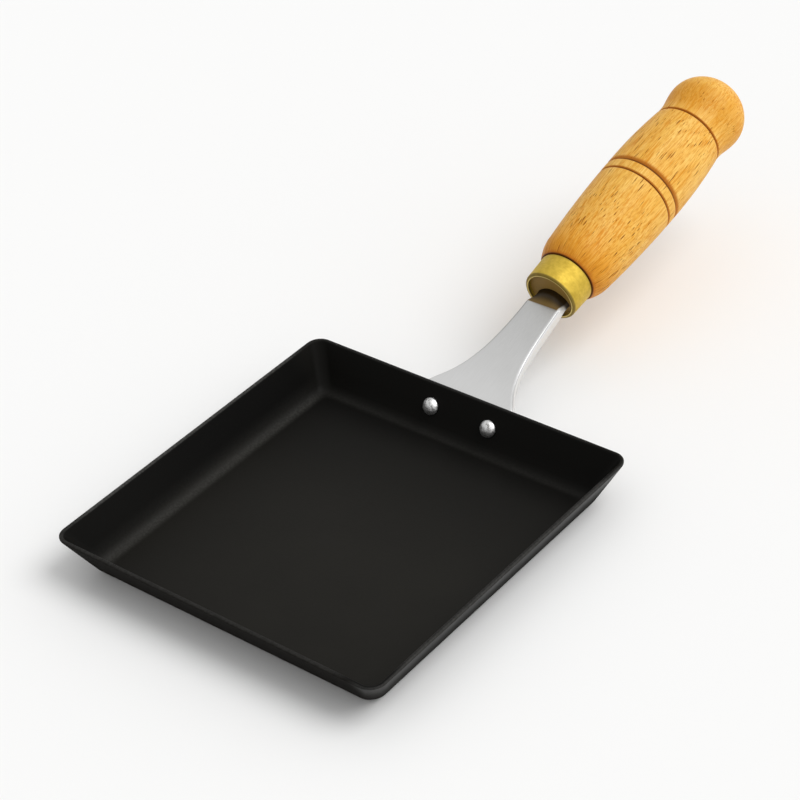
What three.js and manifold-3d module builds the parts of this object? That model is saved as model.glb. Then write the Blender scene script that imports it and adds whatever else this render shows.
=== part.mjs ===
// A small square griddle pan: pressed body, riveted strap bracket, brass ferrule and turned wooden grip.
// Millimetres, +Z up. The origin is the middle of the pan's underside and the handle points along +Y.

import * as THREE from "three";
import { mergeVertices } from "three/addons/utils/BufferGeometryUtils.js";
import Module from "manifold-3d";

const wasm = await Module();
wasm.setup();

// Pan body
const PAN_SIDE = 150;
const PAN_HEIGHT = 18;
const WALL_LEAN = THREE.MathUtils.degToRad(28.5);
const PAN_SHEET = 1.6;
const RIM_CORNER_RADIUS = 6.5;
const BASE_CORNER_RADIUS = 6;
const LEAST_CORNER_RADIUS = 0.8;
const FLOOR_FILLET = 5;
const RIM_EDGE_RADIUS = 0.6;

// Strap bracket
const STRAP_SHEET = 1;
const PLATE_WIDTH = 41.8;
const PLATE_FOOT_HEIGHT = 2.6;
const PLATE_CORNER_RADIUS = 6;
const PLATE_BEND_RADIUS = 5;
const STRAP_DROP_BELOW_RIM = 1.9;
const STRAP_LENGTH = 49.3;
const STRAP_RISE_AT_PAN = THREE.MathUtils.degToRad(11.5);
const STRAP_RISE_AT_FERRULE = THREE.MathUtils.degToRad(18.6);
const NECK_WIDTH = 15.8;
const FLARE_LENGTH = 14.6;
const FLARE_EASE = 1.2;
const EDGE_INNER_RADIUS = 0.35;
const EDGE_LIP = 3;
const EDGE_LIP_AT_ENDS = 0.4;
const EDGE_FULL_SHARE = 0.85;
const EDGE_RUN_OUT = 6;
const CREASE_RADIUS = 5;
const TANG_LEAD = 5.2;
const TANG_DEPTH = 42;
const TANG_CROWN = 2.1;

// Rivets
const RIVET_FROM_EDGE = 7.2;
const RIVET_BELOW_RIM = 9.8;
const RIVET_SHANK_RADIUS = 2;
const RIVET_HEAD_RADIUS = 3.4;
const RIVET_HEAD_HEIGHT = 2.5;
const RIVET_HEAD_EDGE = 0.5;
const RIVET_TAIL_RADIUS = 3.2;
const RIVET_TAIL_HEIGHT = 1.5;

// Handle
const HANDLE_RISE = THREE.MathUtils.degToRad(12.9);
const FERRULE_LENGTH = 11.8;
const FERRULE_MOUTH_RADIUS = 11.6;
const FERRULE_FLARE = 0.3;
const FERRULE_WALL = 1.5;
const FERRULE_LIP_RADIUS = 1;
const TENON_RECESS = 1.8;
const TENON_WALL = 1.4;
const SHOULDER_STEP = 0.4;
const SHOULDER_LENGTH = 8.5;
const BARREL_FRONT_RADIUS = 14.4;
const BARREL_BELLY_RADIUS = 17.5;
const BARREL_BELLY_AT = 58;
const BARREL_REAR_RADIUS = 15.6;
const BARREL_LENGTH = 88.3;
const COVE_RADIUS = 15.45;
const COVE_BEHIND_BARREL = 3.1;
const COVE_LENGTH = 11.5;
const KNOB_RADIUS = 16.9;
const KNOB_DOME_LENGTH = 15;
const FRONT_BAND = { at: 47.9, front: 0.7, rear: 0.6, depth: 0.8 };
const REAR_BAND = { at: 53.1, front: 0.6, rear: 1.7, depth: 1 };
const END_BAND = { at: BARREL_LENGTH, front: 0.8, rear: 0.7, depth: 0.9 };

// Clearances
const FIT_GAP = 0.3;
const TANG_TIP_GAP = 1;

// Facets
const CORNER_STEPS = 7;
const FILLET_STEPS = 5;
const EDGE_STEPS = 3;
const TURNED_SIDES = 40;
const RIVET_SIDES = 20;
const STRAP_CROWN_STEPS = 6;
const DOME_STEPS = 7;

// Places that several pieces share
const rimHeight = PAN_HEIGHT - RIM_EDGE_RADIUS;
const wallOut = new THREE.Vector2(Math.cos(WALL_LEAN), -Math.sin(WALL_LEAN));
const wallUp = new THREE.Vector2(Math.sin(WALL_LEAN), Math.cos(WALL_LEAN));
const rimInset = RIM_EDGE_RADIUS / Math.cos(WALL_LEAN);
const rimHalf = PAN_SIDE / 2 - RIM_EDGE_RADIUS + rimInset;
const wallFoot = new THREE.Vector2(rimHalf - rimHeight * Math.tan(WALL_LEAN), 0);
const edgeRadius = EDGE_INNER_RADIUS + STRAP_SHEET;
const tenonRadius = FERRULE_MOUTH_RADIUS - FERRULE_WALL - FIT_GAP;
const tangDrop = TANG_CROWN + edgeRadius + EDGE_LIP_AT_ENDS;
const tangHalf = Math.sqrt((tenonRadius - TENON_WALL) ** 2 - tangDrop ** 2);
const ferruleRear = FERRULE_MOUTH_RADIUS + FERRULE_FLARE;
const handleAlong = new THREE.Vector2(Math.cos(HANDLE_RISE), Math.sin(HANDLE_RISE));

function toSolid(geometry) {
  const bare = geometry.clone();
  bare.deleteAttribute("normal");
  bare.deleteAttribute("uv");
  const merged = mergeVertices(bare, 1e-4);
  return new wasm.Manifold(new wasm.Mesh({
    numProp: 3,
    vertProperties: new Float32Array(merged.attributes.position.array),
    triVerts: new Uint32Array(merged.index.array),
  }));
}

function toGeometry(solid) {
  const mesh = solid.getMesh();
  const geometry = new THREE.BufferGeometry();
  geometry.setAttribute("position", new THREE.BufferAttribute(new Float32Array(mesh.vertProperties), 3));
  geometry.setIndex(new THREE.BufferAttribute(new Uint32Array(mesh.triVerts), 1));
  geometry.computeVertexNormals();
  return geometry;
}

function cut(geometry, cutters) {
  const body = cutters.reduce((solid, cutter) => solid.subtract(toSolid(cutter)), toSolid(geometry));
  return toGeometry(body);
}

function fromTriangles(points, triangles) {
  const geometry = new THREE.BufferGeometry().setFromPoints(points);
  geometry.setIndex(triangles);
  geometry.computeVertexNormals();
  return geometry;
}

function mesh(name, geometry, material) {
  const part = new THREE.Mesh(geometry, material);
  part.name = name;
  return part;
}

function arcPoints(centre, radius, from, to, steps) {
  return Array.from({ length: steps + 1 }, (_, i) => {
    const angle = from + (to - from) * i / steps;
    return new THREE.Vector2(centre.x + radius * Math.cos(angle), centre.y + radius * Math.sin(angle));
  });
}

// The wall's outer face at a height, as half the pan's width there.
function outerHalf(height) {
  return wallFoot.x + height * Math.tan(WALL_LEAN);
}

// One closed loop of the pan's skin: a square with round corners that keep the wall's thickness.
function panRing({ x: half, y: height }) {
  const outerRadius = THREE.MathUtils.lerp(BASE_CORNER_RADIUS, RIM_CORNER_RADIUS, height / PAN_HEIGHT);
  const radius = Math.max(outerRadius - (outerHalf(height) - half), LEAST_CORNER_RADIUS);
  const straight = half - radius;
  const ring = [];
  for (let corner = 0; corner < 4; corner += 1) {
    const start = corner * Math.PI / 2;
    const centre = new THREE.Vector2(straight * Math.SQRT2, 0)
      .rotateAround(new THREE.Vector2(), start + Math.PI / 4);
    const arc = arcPoints(centre, radius, start, start + Math.PI / 2, CORNER_STEPS);
    ring.push(...arc.map((point) => new THREE.Vector3(point.x, point.y, height)));
  }
  return ring;
}

// The pan's section from the underside, over the rim and down to the floor, as half width and height.
function panSection() {
  const wallWidth = PAN_SHEET / Math.cos(WALL_LEAN);
  const innerHalf = (height) => outerHalf(height) - wallWidth;
  const centreHeight = PAN_SHEET + FLOOR_FILLET;
  const filletInset = FLOOR_FILLET / Math.cos(WALL_LEAN);
  const centre = new THREE.Vector2(innerHalf(centreHeight) - filletInset, centreHeight);
  const down = -Math.PI / 2;
  const outerRim = new THREE.Vector2(outerHalf(rimHeight) - rimInset, rimHeight);
  const innerRim = new THREE.Vector2(innerHalf(rimHeight) + rimInset, rimHeight);
  return [
    ...arcPoints(centre, FLOOR_FILLET + PAN_SHEET, down, -WALL_LEAN, FILLET_STEPS),
    ...arcPoints(outerRim, RIM_EDGE_RADIUS, -WALL_LEAN, Math.PI / 2, EDGE_STEPS),
    ...arcPoints(innerRim, RIM_EDGE_RADIUS, Math.PI / 2, Math.PI - WALL_LEAN, EDGE_STEPS),
    ...arcPoints(centre, FLOOR_FILLET, -WALL_LEAN, down, FILLET_STEPS),
  ];
}

// Closes a stack of loops into a solid, with a flat face at each end of the stack.
function skin(rings) {
  const count = rings[0].length;
  const points = rings.flat();
  const triangles = [];
  for (let ring = 0; ring + 1 < rings.length; ring += 1) {
    for (let i = 0; i < count; i += 1) {
      const a = ring * count + i;
      const b = ring * count + (i + 1) % count;
      triangles.push(a, b, a + count, b, b + count, a + count);
    }
  }
  const first = points.length;
  points.push(new THREE.Vector3(0, 0, rings[0][0].z), new THREE.Vector3(0, 0, rings.at(-1)[0].z));
  const lastLoop = (rings.length - 1) * count;
  for (let i = 0; i < count; i += 1) {
    const next = (i + 1) % count;
    triangles.push(first, next, i, first + 1, lastLoop + i, lastLoop + next);
  }
  return fromTriangles(points, triangles);
}

// Where a rivet's axis meets the wall's inner face, and the way out of the pan along that axis.
const rivetSeat = wallFoot.clone()
  .addScaledVector(wallUp, PAN_HEIGHT / Math.cos(WALL_LEAN) - RIVET_BELOW_RIM)
  .addScaledVector(wallOut, -PAN_SHEET);
const rivetInward = new THREE.Vector3(0, -wallOut.x, -wallOut.y);
const rivetStack = PAN_SHEET + FIT_GAP + STRAP_SHEET;

function rivetPlacement(side) {
  const place = new THREE.Group();
  place.position.set(side * (PLATE_WIDTH / 2 - RIVET_FROM_EDGE), rivetSeat.x, rivetSeat.y);
  place.quaternion.setFromUnitVectors(new THREE.Vector3(0, 1, 0), rivetInward);
  place.updateMatrix();
  return place;
}

function rivetHole(side) {
  const radius = RIVET_SHANK_RADIUS + FIT_GAP;
  const hole = new THREE.CylinderGeometry(radius, radius, 4 * rivetStack, RIVET_SIDES);
  return hole.applyMatrix4(rivetPlacement(side).matrix);
}

function rivetGeometry() {
  const headBase = FIT_GAP;
  const domeHeight = RIVET_HEAD_HEIGHT - RIVET_HEAD_EDGE;
  const domeRadius = (RIVET_HEAD_RADIUS ** 2 + domeHeight ** 2) / (2 * domeHeight);
  const domeCentre = new THREE.Vector2(0, headBase + RIVET_HEAD_HEIGHT - domeRadius);
  const domeEnd = Math.asin((domeRadius - domeHeight) / domeRadius);
  const tailTop = -rivetStack - FIT_GAP;
  const tailDome = (RIVET_TAIL_RADIUS ** 2 + RIVET_TAIL_HEIGHT ** 2) / (2 * RIVET_TAIL_HEIGHT);
  const tailCentre = new THREE.Vector2(0, tailTop - RIVET_TAIL_HEIGHT + tailDome);
  const tailEnd = -Math.asin((tailDome - RIVET_TAIL_HEIGHT) / tailDome);
  const profile = [
    ...arcPoints(tailCentre, tailDome, -Math.PI / 2, tailEnd, FILLET_STEPS),
    new THREE.Vector2(RIVET_SHANK_RADIUS, tailTop),
    new THREE.Vector2(RIVET_SHANK_RADIUS, headBase),
    new THREE.Vector2(RIVET_HEAD_RADIUS, headBase),
    ...arcPoints(domeCentre, domeRadius, domeEnd, Math.PI / 2, FILLET_STEPS),
  ];
  profile[0].x = 0;
  profile.at(-1).x = 0;
  return new THREE.LatheGeometry(profile, RIVET_SIDES);
}

// The strap's upper face seen from the side: up the wall, round the bend, along the neck and into the grip.
function strapPath() {
  const plateLine = wallFoot.clone().addScaledVector(wallOut, FIT_GAP);
  const along = (angle) => new THREE.Vector2(Math.cos(angle), Math.sin(angle));
  const left = (angle) => new THREE.Vector2(-Math.sin(angle), Math.cos(angle));
  const wallAngle = Math.PI / 2 - WALL_LEAN;
  const bendTangent = PLATE_BEND_RADIUS * Math.tan((wallAngle - STRAP_RISE_AT_PAN) / 2);
  const elbow = plateLine.clone()
    .addScaledVector(wallUp, (PAN_HEIGHT - STRAP_DROP_BELOW_RIM - plateLine.y) / Math.cos(WALL_LEAN));
  const bendStart = elbow.clone().addScaledVector(wallUp, -bendTangent);
  const bendCentre = bendStart.clone().addScaledVector(left(wallAngle), -PLATE_BEND_RADIUS);
  const neckStart = bendCentre.clone().addScaledVector(left(STRAP_RISE_AT_PAN), PLATE_BEND_RADIUS);
  const sweepRadius = STRAP_LENGTH / (STRAP_RISE_AT_FERRULE - STRAP_RISE_AT_PAN);
  const sweepCentre = neckStart.clone().addScaledVector(left(STRAP_RISE_AT_PAN), sweepRadius);
  const neckEnd = sweepCentre.clone().addScaledVector(left(STRAP_RISE_AT_FERRULE), -sweepRadius);
  const creaseCentre = neckEnd.clone().addScaledVector(left(STRAP_RISE_AT_FERRULE), -CREASE_RADIUS);
  const tangStart = creaseCentre.clone().addScaledVector(left(HANDLE_RISE), CREASE_RADIUS);
  const tangEnd = tangStart.clone().addScaledVector(along(HANDLE_RISE), TANG_LEAD + TANG_DEPTH);
  const plateFoot = plateLine.clone()
    .addScaledVector(wallUp, (PLATE_FOOT_HEIGHT - plateLine.y) / Math.cos(WALL_LEAN));
  const quarter = Math.PI / 2;
  const path = new THREE.Path().moveTo(plateFoot.x, plateFoot.y);
  path.lineTo(bendStart.x, bendStart.y);
  path.absarc(bendCentre.x, bendCentre.y, PLATE_BEND_RADIUS,
    wallAngle + quarter, STRAP_RISE_AT_PAN + quarter, true);
  path.absarc(sweepCentre.x, sweepCentre.y, sweepRadius,
    STRAP_RISE_AT_PAN - quarter, STRAP_RISE_AT_FERRULE - quarter, false);
  path.absarc(creaseCentre.x, creaseCentre.y, CREASE_RADIUS,
    STRAP_RISE_AT_FERRULE + quarter, HANDLE_RISE + quarter, true);
  path.lineTo(tangEnd.x, tangEnd.y);
  const plateLength = bendStart.distanceTo(plateFoot);
  const bendLength = PLATE_BEND_RADIUS * (wallAngle - STRAP_RISE_AT_PAN);
  const creaseLength = CREASE_RADIUS * (STRAP_RISE_AT_FERRULE - HANDLE_RISE);
  const neckFrom = plateLength + bendLength;
  const tangFrom = neckFrom + STRAP_LENGTH + creaseLength;
  return { path, tangStart, plateLength, neckFrom, tangFrom };
}

const strap = strapPath();

// The strap's half width at a distance along it, from the round-cornered foot to the tang.
function strapHalfWidth(distance) {
  const plateHalf = PLATE_WIDTH / 2;
  const neckHalf = NECK_WIDTH / 2;
  const foot = Math.max(PLATE_CORNER_RADIUS - distance, 0);
  const footInset = PLATE_CORNER_RADIUS - Math.sqrt(PLATE_CORNER_RADIUS ** 2 - foot ** 2);
  const past = FLARE_EASE * Math.log1p(Math.exp((distance - strap.neckFrom) / FLARE_EASE));
  const leftOver = Math.exp((strap.neckFrom - strap.tangFrom) / FLARE_LENGTH);
  const flare = Math.max(Math.exp(-past / FLARE_LENGTH) - leftOver, 0) / (1 - leftOver);
  const curled = THREE.MathUtils.smoothstep(distance, strap.tangFrom, strap.tangFrom + TANG_LEAD);
  return neckHalf + (plateHalf - neckHalf) * flare - footInset - (neckHalf - tangHalf) * curled;
}

// How far the strap's edges hang below their bend: deeper along the neck, run out at the ferrule.
function strapLip(distance) {
  const runOutEnd = strap.tangFrom + TANG_LEAD - FIT_GAP;
  const fullAt = strap.neckFrom + EDGE_FULL_SHARE * STRAP_LENGTH;
  const fromFoot = THREE.MathUtils.smoothstep(distance, 0, fullAt);
  const toFerrule = 1 - THREE.MathUtils.smoothstep(distance, runOutEnd - EDGE_RUN_OUT, runOutEnd);
  return THREE.MathUtils.lerp(EDGE_LIP_AT_ENDS, EDGE_LIP, Math.min(fromFoot, toFerrule));
}

// The strap's arch: flat along the neck, curled over the last few millimetres before the ferrule.
function strapCrown(distance) {
  return TANG_CROWN * THREE.MathUtils.smoothstep(distance, strap.tangFrom, strap.tangFrom + TANG_LEAD);
}

// A channel section with turned-down edges, as matching outer and inner outlines from left to right.
function channelSection(halfWidth, lip, crown, gap) {
  const corner = new THREE.Vector2(halfWidth - edgeRadius, -edgeRadius);
  const side = (radius, reach) => {
    const arc = arcPoints(corner, radius, 0, Math.PI / 2, EDGE_STEPS);
    return [new THREE.Vector2(corner.x + radius, corner.y - lip - reach), ...arc];
  };
  const outline = (radius, reach) => {
    const right = side(radius, reach);
    const left = right.map((point) => new THREE.Vector2(-point.x, point.y));
    const top = [];
    for (let i = 1; i < STRAP_CROWN_STEPS; i += 1) {
      top.push(left.at(-1).clone().lerp(right.at(-1), i / STRAP_CROWN_STEPS));
    }
    return [...left, ...top, ...right.reverse()];
  };
  const arch = (point) => {
    const lift = crown * (1 - 2 * (point.x / halfWidth) ** 2);
    return new THREE.Vector2(point.x, point.y + lift);
  };
  const outer = outline(edgeRadius + gap, gap).map(arch);
  const inner = outline(EDGE_INNER_RADIUS - gap, gap).map(arch);
  return { outer, inner };
}

// Joins channel sections into one sheet-metal solid. Each station has a section, an origin and a slope.
function sweepChannel(stations) {
  const points = [];
  const triangles = [];
  const place = (station, point) => new THREE.Vector3(
    point.x,
    station.origin.x - Math.sin(station.slope) * point.y,
    station.origin.y + Math.cos(station.slope) * point.y,
  );
  const quad = (a, b, c, d) => triangles.push(a, b, c, a, c, d);
  for (const station of stations) {
    points.push(...station.section.outer.map((point) => place(station, point)));
    points.push(...station.section.inner.map((point) => place(station, point)));
  }
  const width = stations[0].section.outer.length;
  const stride = 2 * width;
  for (let row = 0; row + 1 < stations.length; row += 1) {
    const near = row * stride;
    const far = near + stride;
    for (let i = 0; i + 1 < width; i += 1) {
      quad(near + i, near + i + 1, far + i + 1, far + i);
      quad(near + width + i + 1, near + width + i, far + width + i, far + width + i + 1);
    }
    quad(near + width, near, far, far + width);
    quad(near + width - 1, near + stride - 1, far + stride - 1, far + width - 1);
  }
  const last = (stations.length - 1) * stride;
  for (let i = 0; i + 1 < width; i += 1) {
    quad(i + 1, i, width + i, width + i + 1);
    quad(last + i, last + i + 1, last + width + i + 1, last + width + i);
  }
  return fromTriangles(points, triangles);
}

function strapGeometry() {
  const length = strap.path.getLength();
  const spread = (from, to, steps) => Array.from({ length: steps }, (_, i) => from + (to - from) * i / steps);
  const ferruleFace = strap.tangFrom + TANG_LEAD;
  const distances = [
    ...spread(0, PLATE_CORNER_RADIUS, 5),
    ...spread(PLATE_CORNER_RADIUS, strap.plateLength, 2),
    ...spread(strap.plateLength, strap.neckFrom, 6),
    ...spread(strap.neckFrom, strap.tangFrom, 16),
    ...spread(strap.tangFrom, ferruleFace, 6),
    ferruleFace,
    length,
  ];
  return sweepChannel(distances.map((distance) => {
    const share = distance / length;
    const tangent = strap.path.getTangentAt(share);
    return {
      section: channelSection(strapHalfWidth(distance), strapLip(distance), strapCrown(distance), 0),
      origin: strap.path.getPointAt(share),
      slope: Math.atan2(tangent.y, tangent.x),
    };
  }));
}

// The handle's own frame: its origin is the middle of the ferrule's mouth and its Y axis runs down the grip.
const handle = new THREE.Group();
const mouth = strap.tangStart.clone().addScaledVector(handleAlong, TANG_LEAD);
handle.position.set(0, mouth.x, mouth.y);
handle.rotation.x = HANDLE_RISE;

function ferruleGeometry() {
  const boreRadius = FERRULE_MOUTH_RADIUS - FERRULE_WALL;
  const lip = new THREE.Vector2(FERRULE_MOUTH_RADIUS - FERRULE_LIP_RADIUS, FERRULE_LIP_RADIUS);
  const profile = [
    new THREE.Vector2(boreRadius, FERRULE_LENGTH),
    new THREE.Vector2(boreRadius, 0),
    ...arcPoints(lip, FERRULE_LIP_RADIUS, -Math.PI / 2, 0, EDGE_STEPS),
    new THREE.Vector2(ferruleRear, FERRULE_LENGTH),
    new THREE.Vector2(boreRadius, FERRULE_LENGTH),
  ];
  return new THREE.LatheGeometry(profile, TURNED_SIDES);
}

// The barrel's radius at a distance behind the shoulder, before its grooves are cut.
function barrelRadius(distance) {
  const front = distance < BARREL_BELLY_AT;
  const reach = front ? BARREL_BELLY_AT : BARREL_LENGTH - BARREL_BELLY_AT;
  const endRadius = front ? BARREL_FRONT_RADIUS : BARREL_REAR_RADIUS;
  const fall = (BARREL_BELLY_RADIUS - endRadius) * ((distance - BARREL_BELLY_AT) / reach) ** 2;
  const shoulderDrop = BARREL_FRONT_RADIUS - ferruleRear - SHOULDER_STEP;
  const shoulder = shoulderDrop * Math.max(1 - distance / SHOULDER_LENGTH, 0) ** 2;
  return BARREL_BELLY_RADIUS - fall - shoulder;
}

function groove({ at, front, rear, depth }, rearRadius) {
  return [
    new THREE.Vector2(barrelRadius(at - front), at - front),
    new THREE.Vector2(barrelRadius(at) - depth, at),
    new THREE.Vector2(rearRadius, at + rear),
  ];
}

// Points along the barrel between two distances behind the shoulder, both ends left out.
function barrelRun(from, to, steps) {
  return Array.from({ length: steps - 1 }, (_, i) => {
    const at = from + (to - from) * (i + 1) / steps;
    return new THREE.Vector2(barrelRadius(at), at);
  });
}

// The hollow behind the barrel and the domed end, as distances behind the shoulder.
function knobProfile() {
  const coveAt = BARREL_LENGTH + COVE_BEHIND_BARREL;
  const knobAt = coveAt + COVE_LENGTH;
  const cove = Array.from({ length: DOME_STEPS }, (_, i) => {
    const share = i / DOME_STEPS;
    const radius = THREE.MathUtils.lerp(COVE_RADIUS, KNOB_RADIUS, (1 - Math.cos(Math.PI * share)) / 2);
    return new THREE.Vector2(radius, coveAt + COVE_LENGTH * share);
  });
  const dome = Array.from({ length: DOME_STEPS }, (_, i) => {
    const angle = Math.PI / 2 * i / DOME_STEPS;
    return new THREE.Vector2(KNOB_RADIUS * Math.cos(angle), knobAt + KNOB_DOME_LENGTH * Math.sin(angle));
  });
  return [...cove, ...dome, new THREE.Vector2(0, knobAt + KNOB_DOME_LENGTH)];
}

// The blind slot that the tang is driven into, cut with clearance all round it.
function tangSlot() {
  const section = channelSection(tangHalf, EDGE_LIP_AT_ENDS, TANG_CROWN, FIT_GAP);
  const station = (along) => ({ section, origin: new THREE.Vector2(along, 0), slope: 0 });
  return sweepChannel([station(-TANG_LEAD), station(TANG_DEPTH + TANG_TIP_GAP)]);
}

function gripGeometry() {
  const shoulderAt = FERRULE_LENGTH + FIT_GAP;
  const beadFrom = FRONT_BAND.at + FRONT_BAND.rear;
  const beadTo = REAR_BAND.at + REAR_BAND.rear;
  const behindShoulder = [
    new THREE.Vector2(barrelRadius(0), 0),
    ...barrelRun(0, SHOULDER_LENGTH, 5),
    ...barrelRun(SHOULDER_LENGTH, FRONT_BAND.at - FRONT_BAND.front, 6),
    ...groove(FRONT_BAND, barrelRadius(beadFrom)),
    ...groove(REAR_BAND, barrelRadius(beadTo)),
    ...barrelRun(beadTo, END_BAND.at - END_BAND.front, 6),
    ...groove(END_BAND, COVE_RADIUS),
    ...knobProfile(),
  ];
  const profile = [
    new THREE.Vector2(0, TENON_RECESS),
    new THREE.Vector2(tenonRadius, TENON_RECESS),
    new THREE.Vector2(tenonRadius, shoulderAt),
    ...behindShoulder.map((point) => new THREE.Vector2(point.x, point.y + shoulderAt)),
  ];
  return cut(new THREE.LatheGeometry(profile, TURNED_SIDES), [tangSlot()]);
}

const blackCoat = new THREE.MeshStandardMaterial({ color: 0x1c1b19, roughness: 0.55, metalness: 0.3 });
const satinSteel = new THREE.MeshStandardMaterial({ color: 0xb9babb, roughness: 0.35, metalness: 0.9 });
const rivetSteel = new THREE.MeshStandardMaterial({ color: 0xd2d3d4, roughness: 0.25, metalness: 0.95 });
const brass = new THREE.MeshStandardMaterial({ color: 0xc9a53a, roughness: 0.3, metalness: 0.9 });
const honeyWood = new THREE.MeshStandardMaterial({ color: 0xd99a4e, roughness: 0.55, metalness: 0 });

const tawa = new THREE.Group();
const holes = [rivetHole(-1), rivetHole(1)];
tawa.add(mesh("pan_body", cut(skin(panSection().map(panRing)), holes), blackCoat));
tawa.add(mesh("handle_bracket", cut(strapGeometry(), holes), satinSteel));
for (const [name, side] of [["rivet_left", -1], ["rivet_right", 1]]) {
  const place = rivetPlacement(side);
  place.add(mesh(name, rivetGeometry(), rivetSteel));
  tawa.add(place);
}
handle.add(mesh("ferrule", ferruleGeometry(), brass));
handle.add(mesh("grip", gripGeometry(), honeyWood));
tawa.add(handle);

export default tawa;
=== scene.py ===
"""A small square griddle pan: pressed body, riveted strap bracket, brass ferrule and turned wooden grip.

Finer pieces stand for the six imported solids, each with its own finish, in a plain pale studio.
Pieces are measured in metres. Patterns in finishes are placed in millimetres and counted per millimetre.
+Z is up, the origin is the middle of the pan's underside, and the handle points along +Y.
"""

import logging
import math
from collections.abc import Callable, Iterable, Sequence
from dataclasses import dataclass
from enum import Enum
from functools import cache
from typing import Union

import bmesh
import bpy
from bmesh.types import BMesh, BMVert
from bpy.types import ID, Material, Node, NodeSocket, NodeTree, Object
from mathutils import Matrix, Vector


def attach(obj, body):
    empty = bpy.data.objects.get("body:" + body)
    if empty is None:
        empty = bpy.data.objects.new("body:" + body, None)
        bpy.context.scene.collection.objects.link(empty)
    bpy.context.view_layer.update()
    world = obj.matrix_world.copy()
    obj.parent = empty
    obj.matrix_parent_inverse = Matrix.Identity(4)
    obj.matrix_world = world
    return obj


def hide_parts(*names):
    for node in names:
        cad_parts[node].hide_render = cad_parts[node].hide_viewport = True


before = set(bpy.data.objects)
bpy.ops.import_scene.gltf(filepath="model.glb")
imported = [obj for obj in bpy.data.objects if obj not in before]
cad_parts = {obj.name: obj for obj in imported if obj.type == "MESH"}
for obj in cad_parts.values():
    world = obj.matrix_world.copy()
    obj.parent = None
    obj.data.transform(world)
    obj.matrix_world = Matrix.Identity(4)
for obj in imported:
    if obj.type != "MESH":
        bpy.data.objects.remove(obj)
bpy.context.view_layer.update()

BODY = "root"
TURNED_EDGE = "turned_edge"
SHADER_TREE = "ShaderNodeTree"
GEOMETRY_TREE = "GeometryNodeTree"
COLOUR_A, COLOUR_B, COLOUR_OUT = 6, 7, 2
NOISE_MIDDLE = 0.5
ROUND_BEVEL = 0.5
QUARTER = math.pi / 2
LEAST_TURN = 1e-9
MM_PER_METRE = 1000.0
SLIVER = 2e-6
LATHE_REACH = 0.02
LATHE_WELD = 3e-6
IMAGE_PIXELS = 800
SENSOR_WIDTH = 36.0

Colour = tuple[float, float, float]
Place = tuple[float, float, float]
Span = tuple[float, float]
Counts = tuple[float, float]
Run = tuple[float, float]
Shares = tuple[float, ...]
Outlines = tuple[list[Vector], list[Vector]]
Value = Union[float, "Field"]
Spot = tuple[Value, Value]
Paint = Union[Colour, "Field"]
Inputs = dict[str | int, object]

log = logging.getLogger("square_pan")


class Slot(Enum):
    """The record's material slots."""

    BLACK_COAT = "black_coat"
    STRAP_STEEL = "strap_steel"
    RIVET_STEEL = "rivet_steel"
    BRASS = "brass"
    TURNED_WOOD = "turned_wood"


class Side(Enum):
    """The two sides of the handle, as signs along X."""

    LEFT = -1
    RIGHT = 1


def mm(value: float) -> float:
    """A size in millimetres, as metres."""
    return value / MM_PER_METRE


def to_mm(size: float) -> float:
    """A size in metres, as millimetres."""
    return size * MM_PER_METRE


def lerp(start: float, end: float, share: float) -> float:
    """The value a share of the way from start to end."""
    return start + (end - start) * share


def smoothstep(value: float, low: float, high: float) -> float:
    """A soft rise from 0 at low to 1 at high."""
    share = min(max((value - low) / (high - low), 0.0), 1.0)
    return share * share * (3 - 2 * share)


def arc_points(centre: Vector, radius: float, start: float, end: float, steps: int) -> list[Vector]:
    """Points along a flat arc.

    Args:
        centre: Middle of the arc.
        radius: Its radius.
        start: First angle, in radians.
        end: Last angle, in radians.
        steps: Number of straight runs between the two.

    Returns:
        The points, both ends included.
    """
    angles = (lerp(start, end, i / steps) for i in range(steps + 1))
    return [centre + radius * Vector((math.cos(angle), math.sin(angle))) for angle in angles]


# Node trees written as formulas


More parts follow.
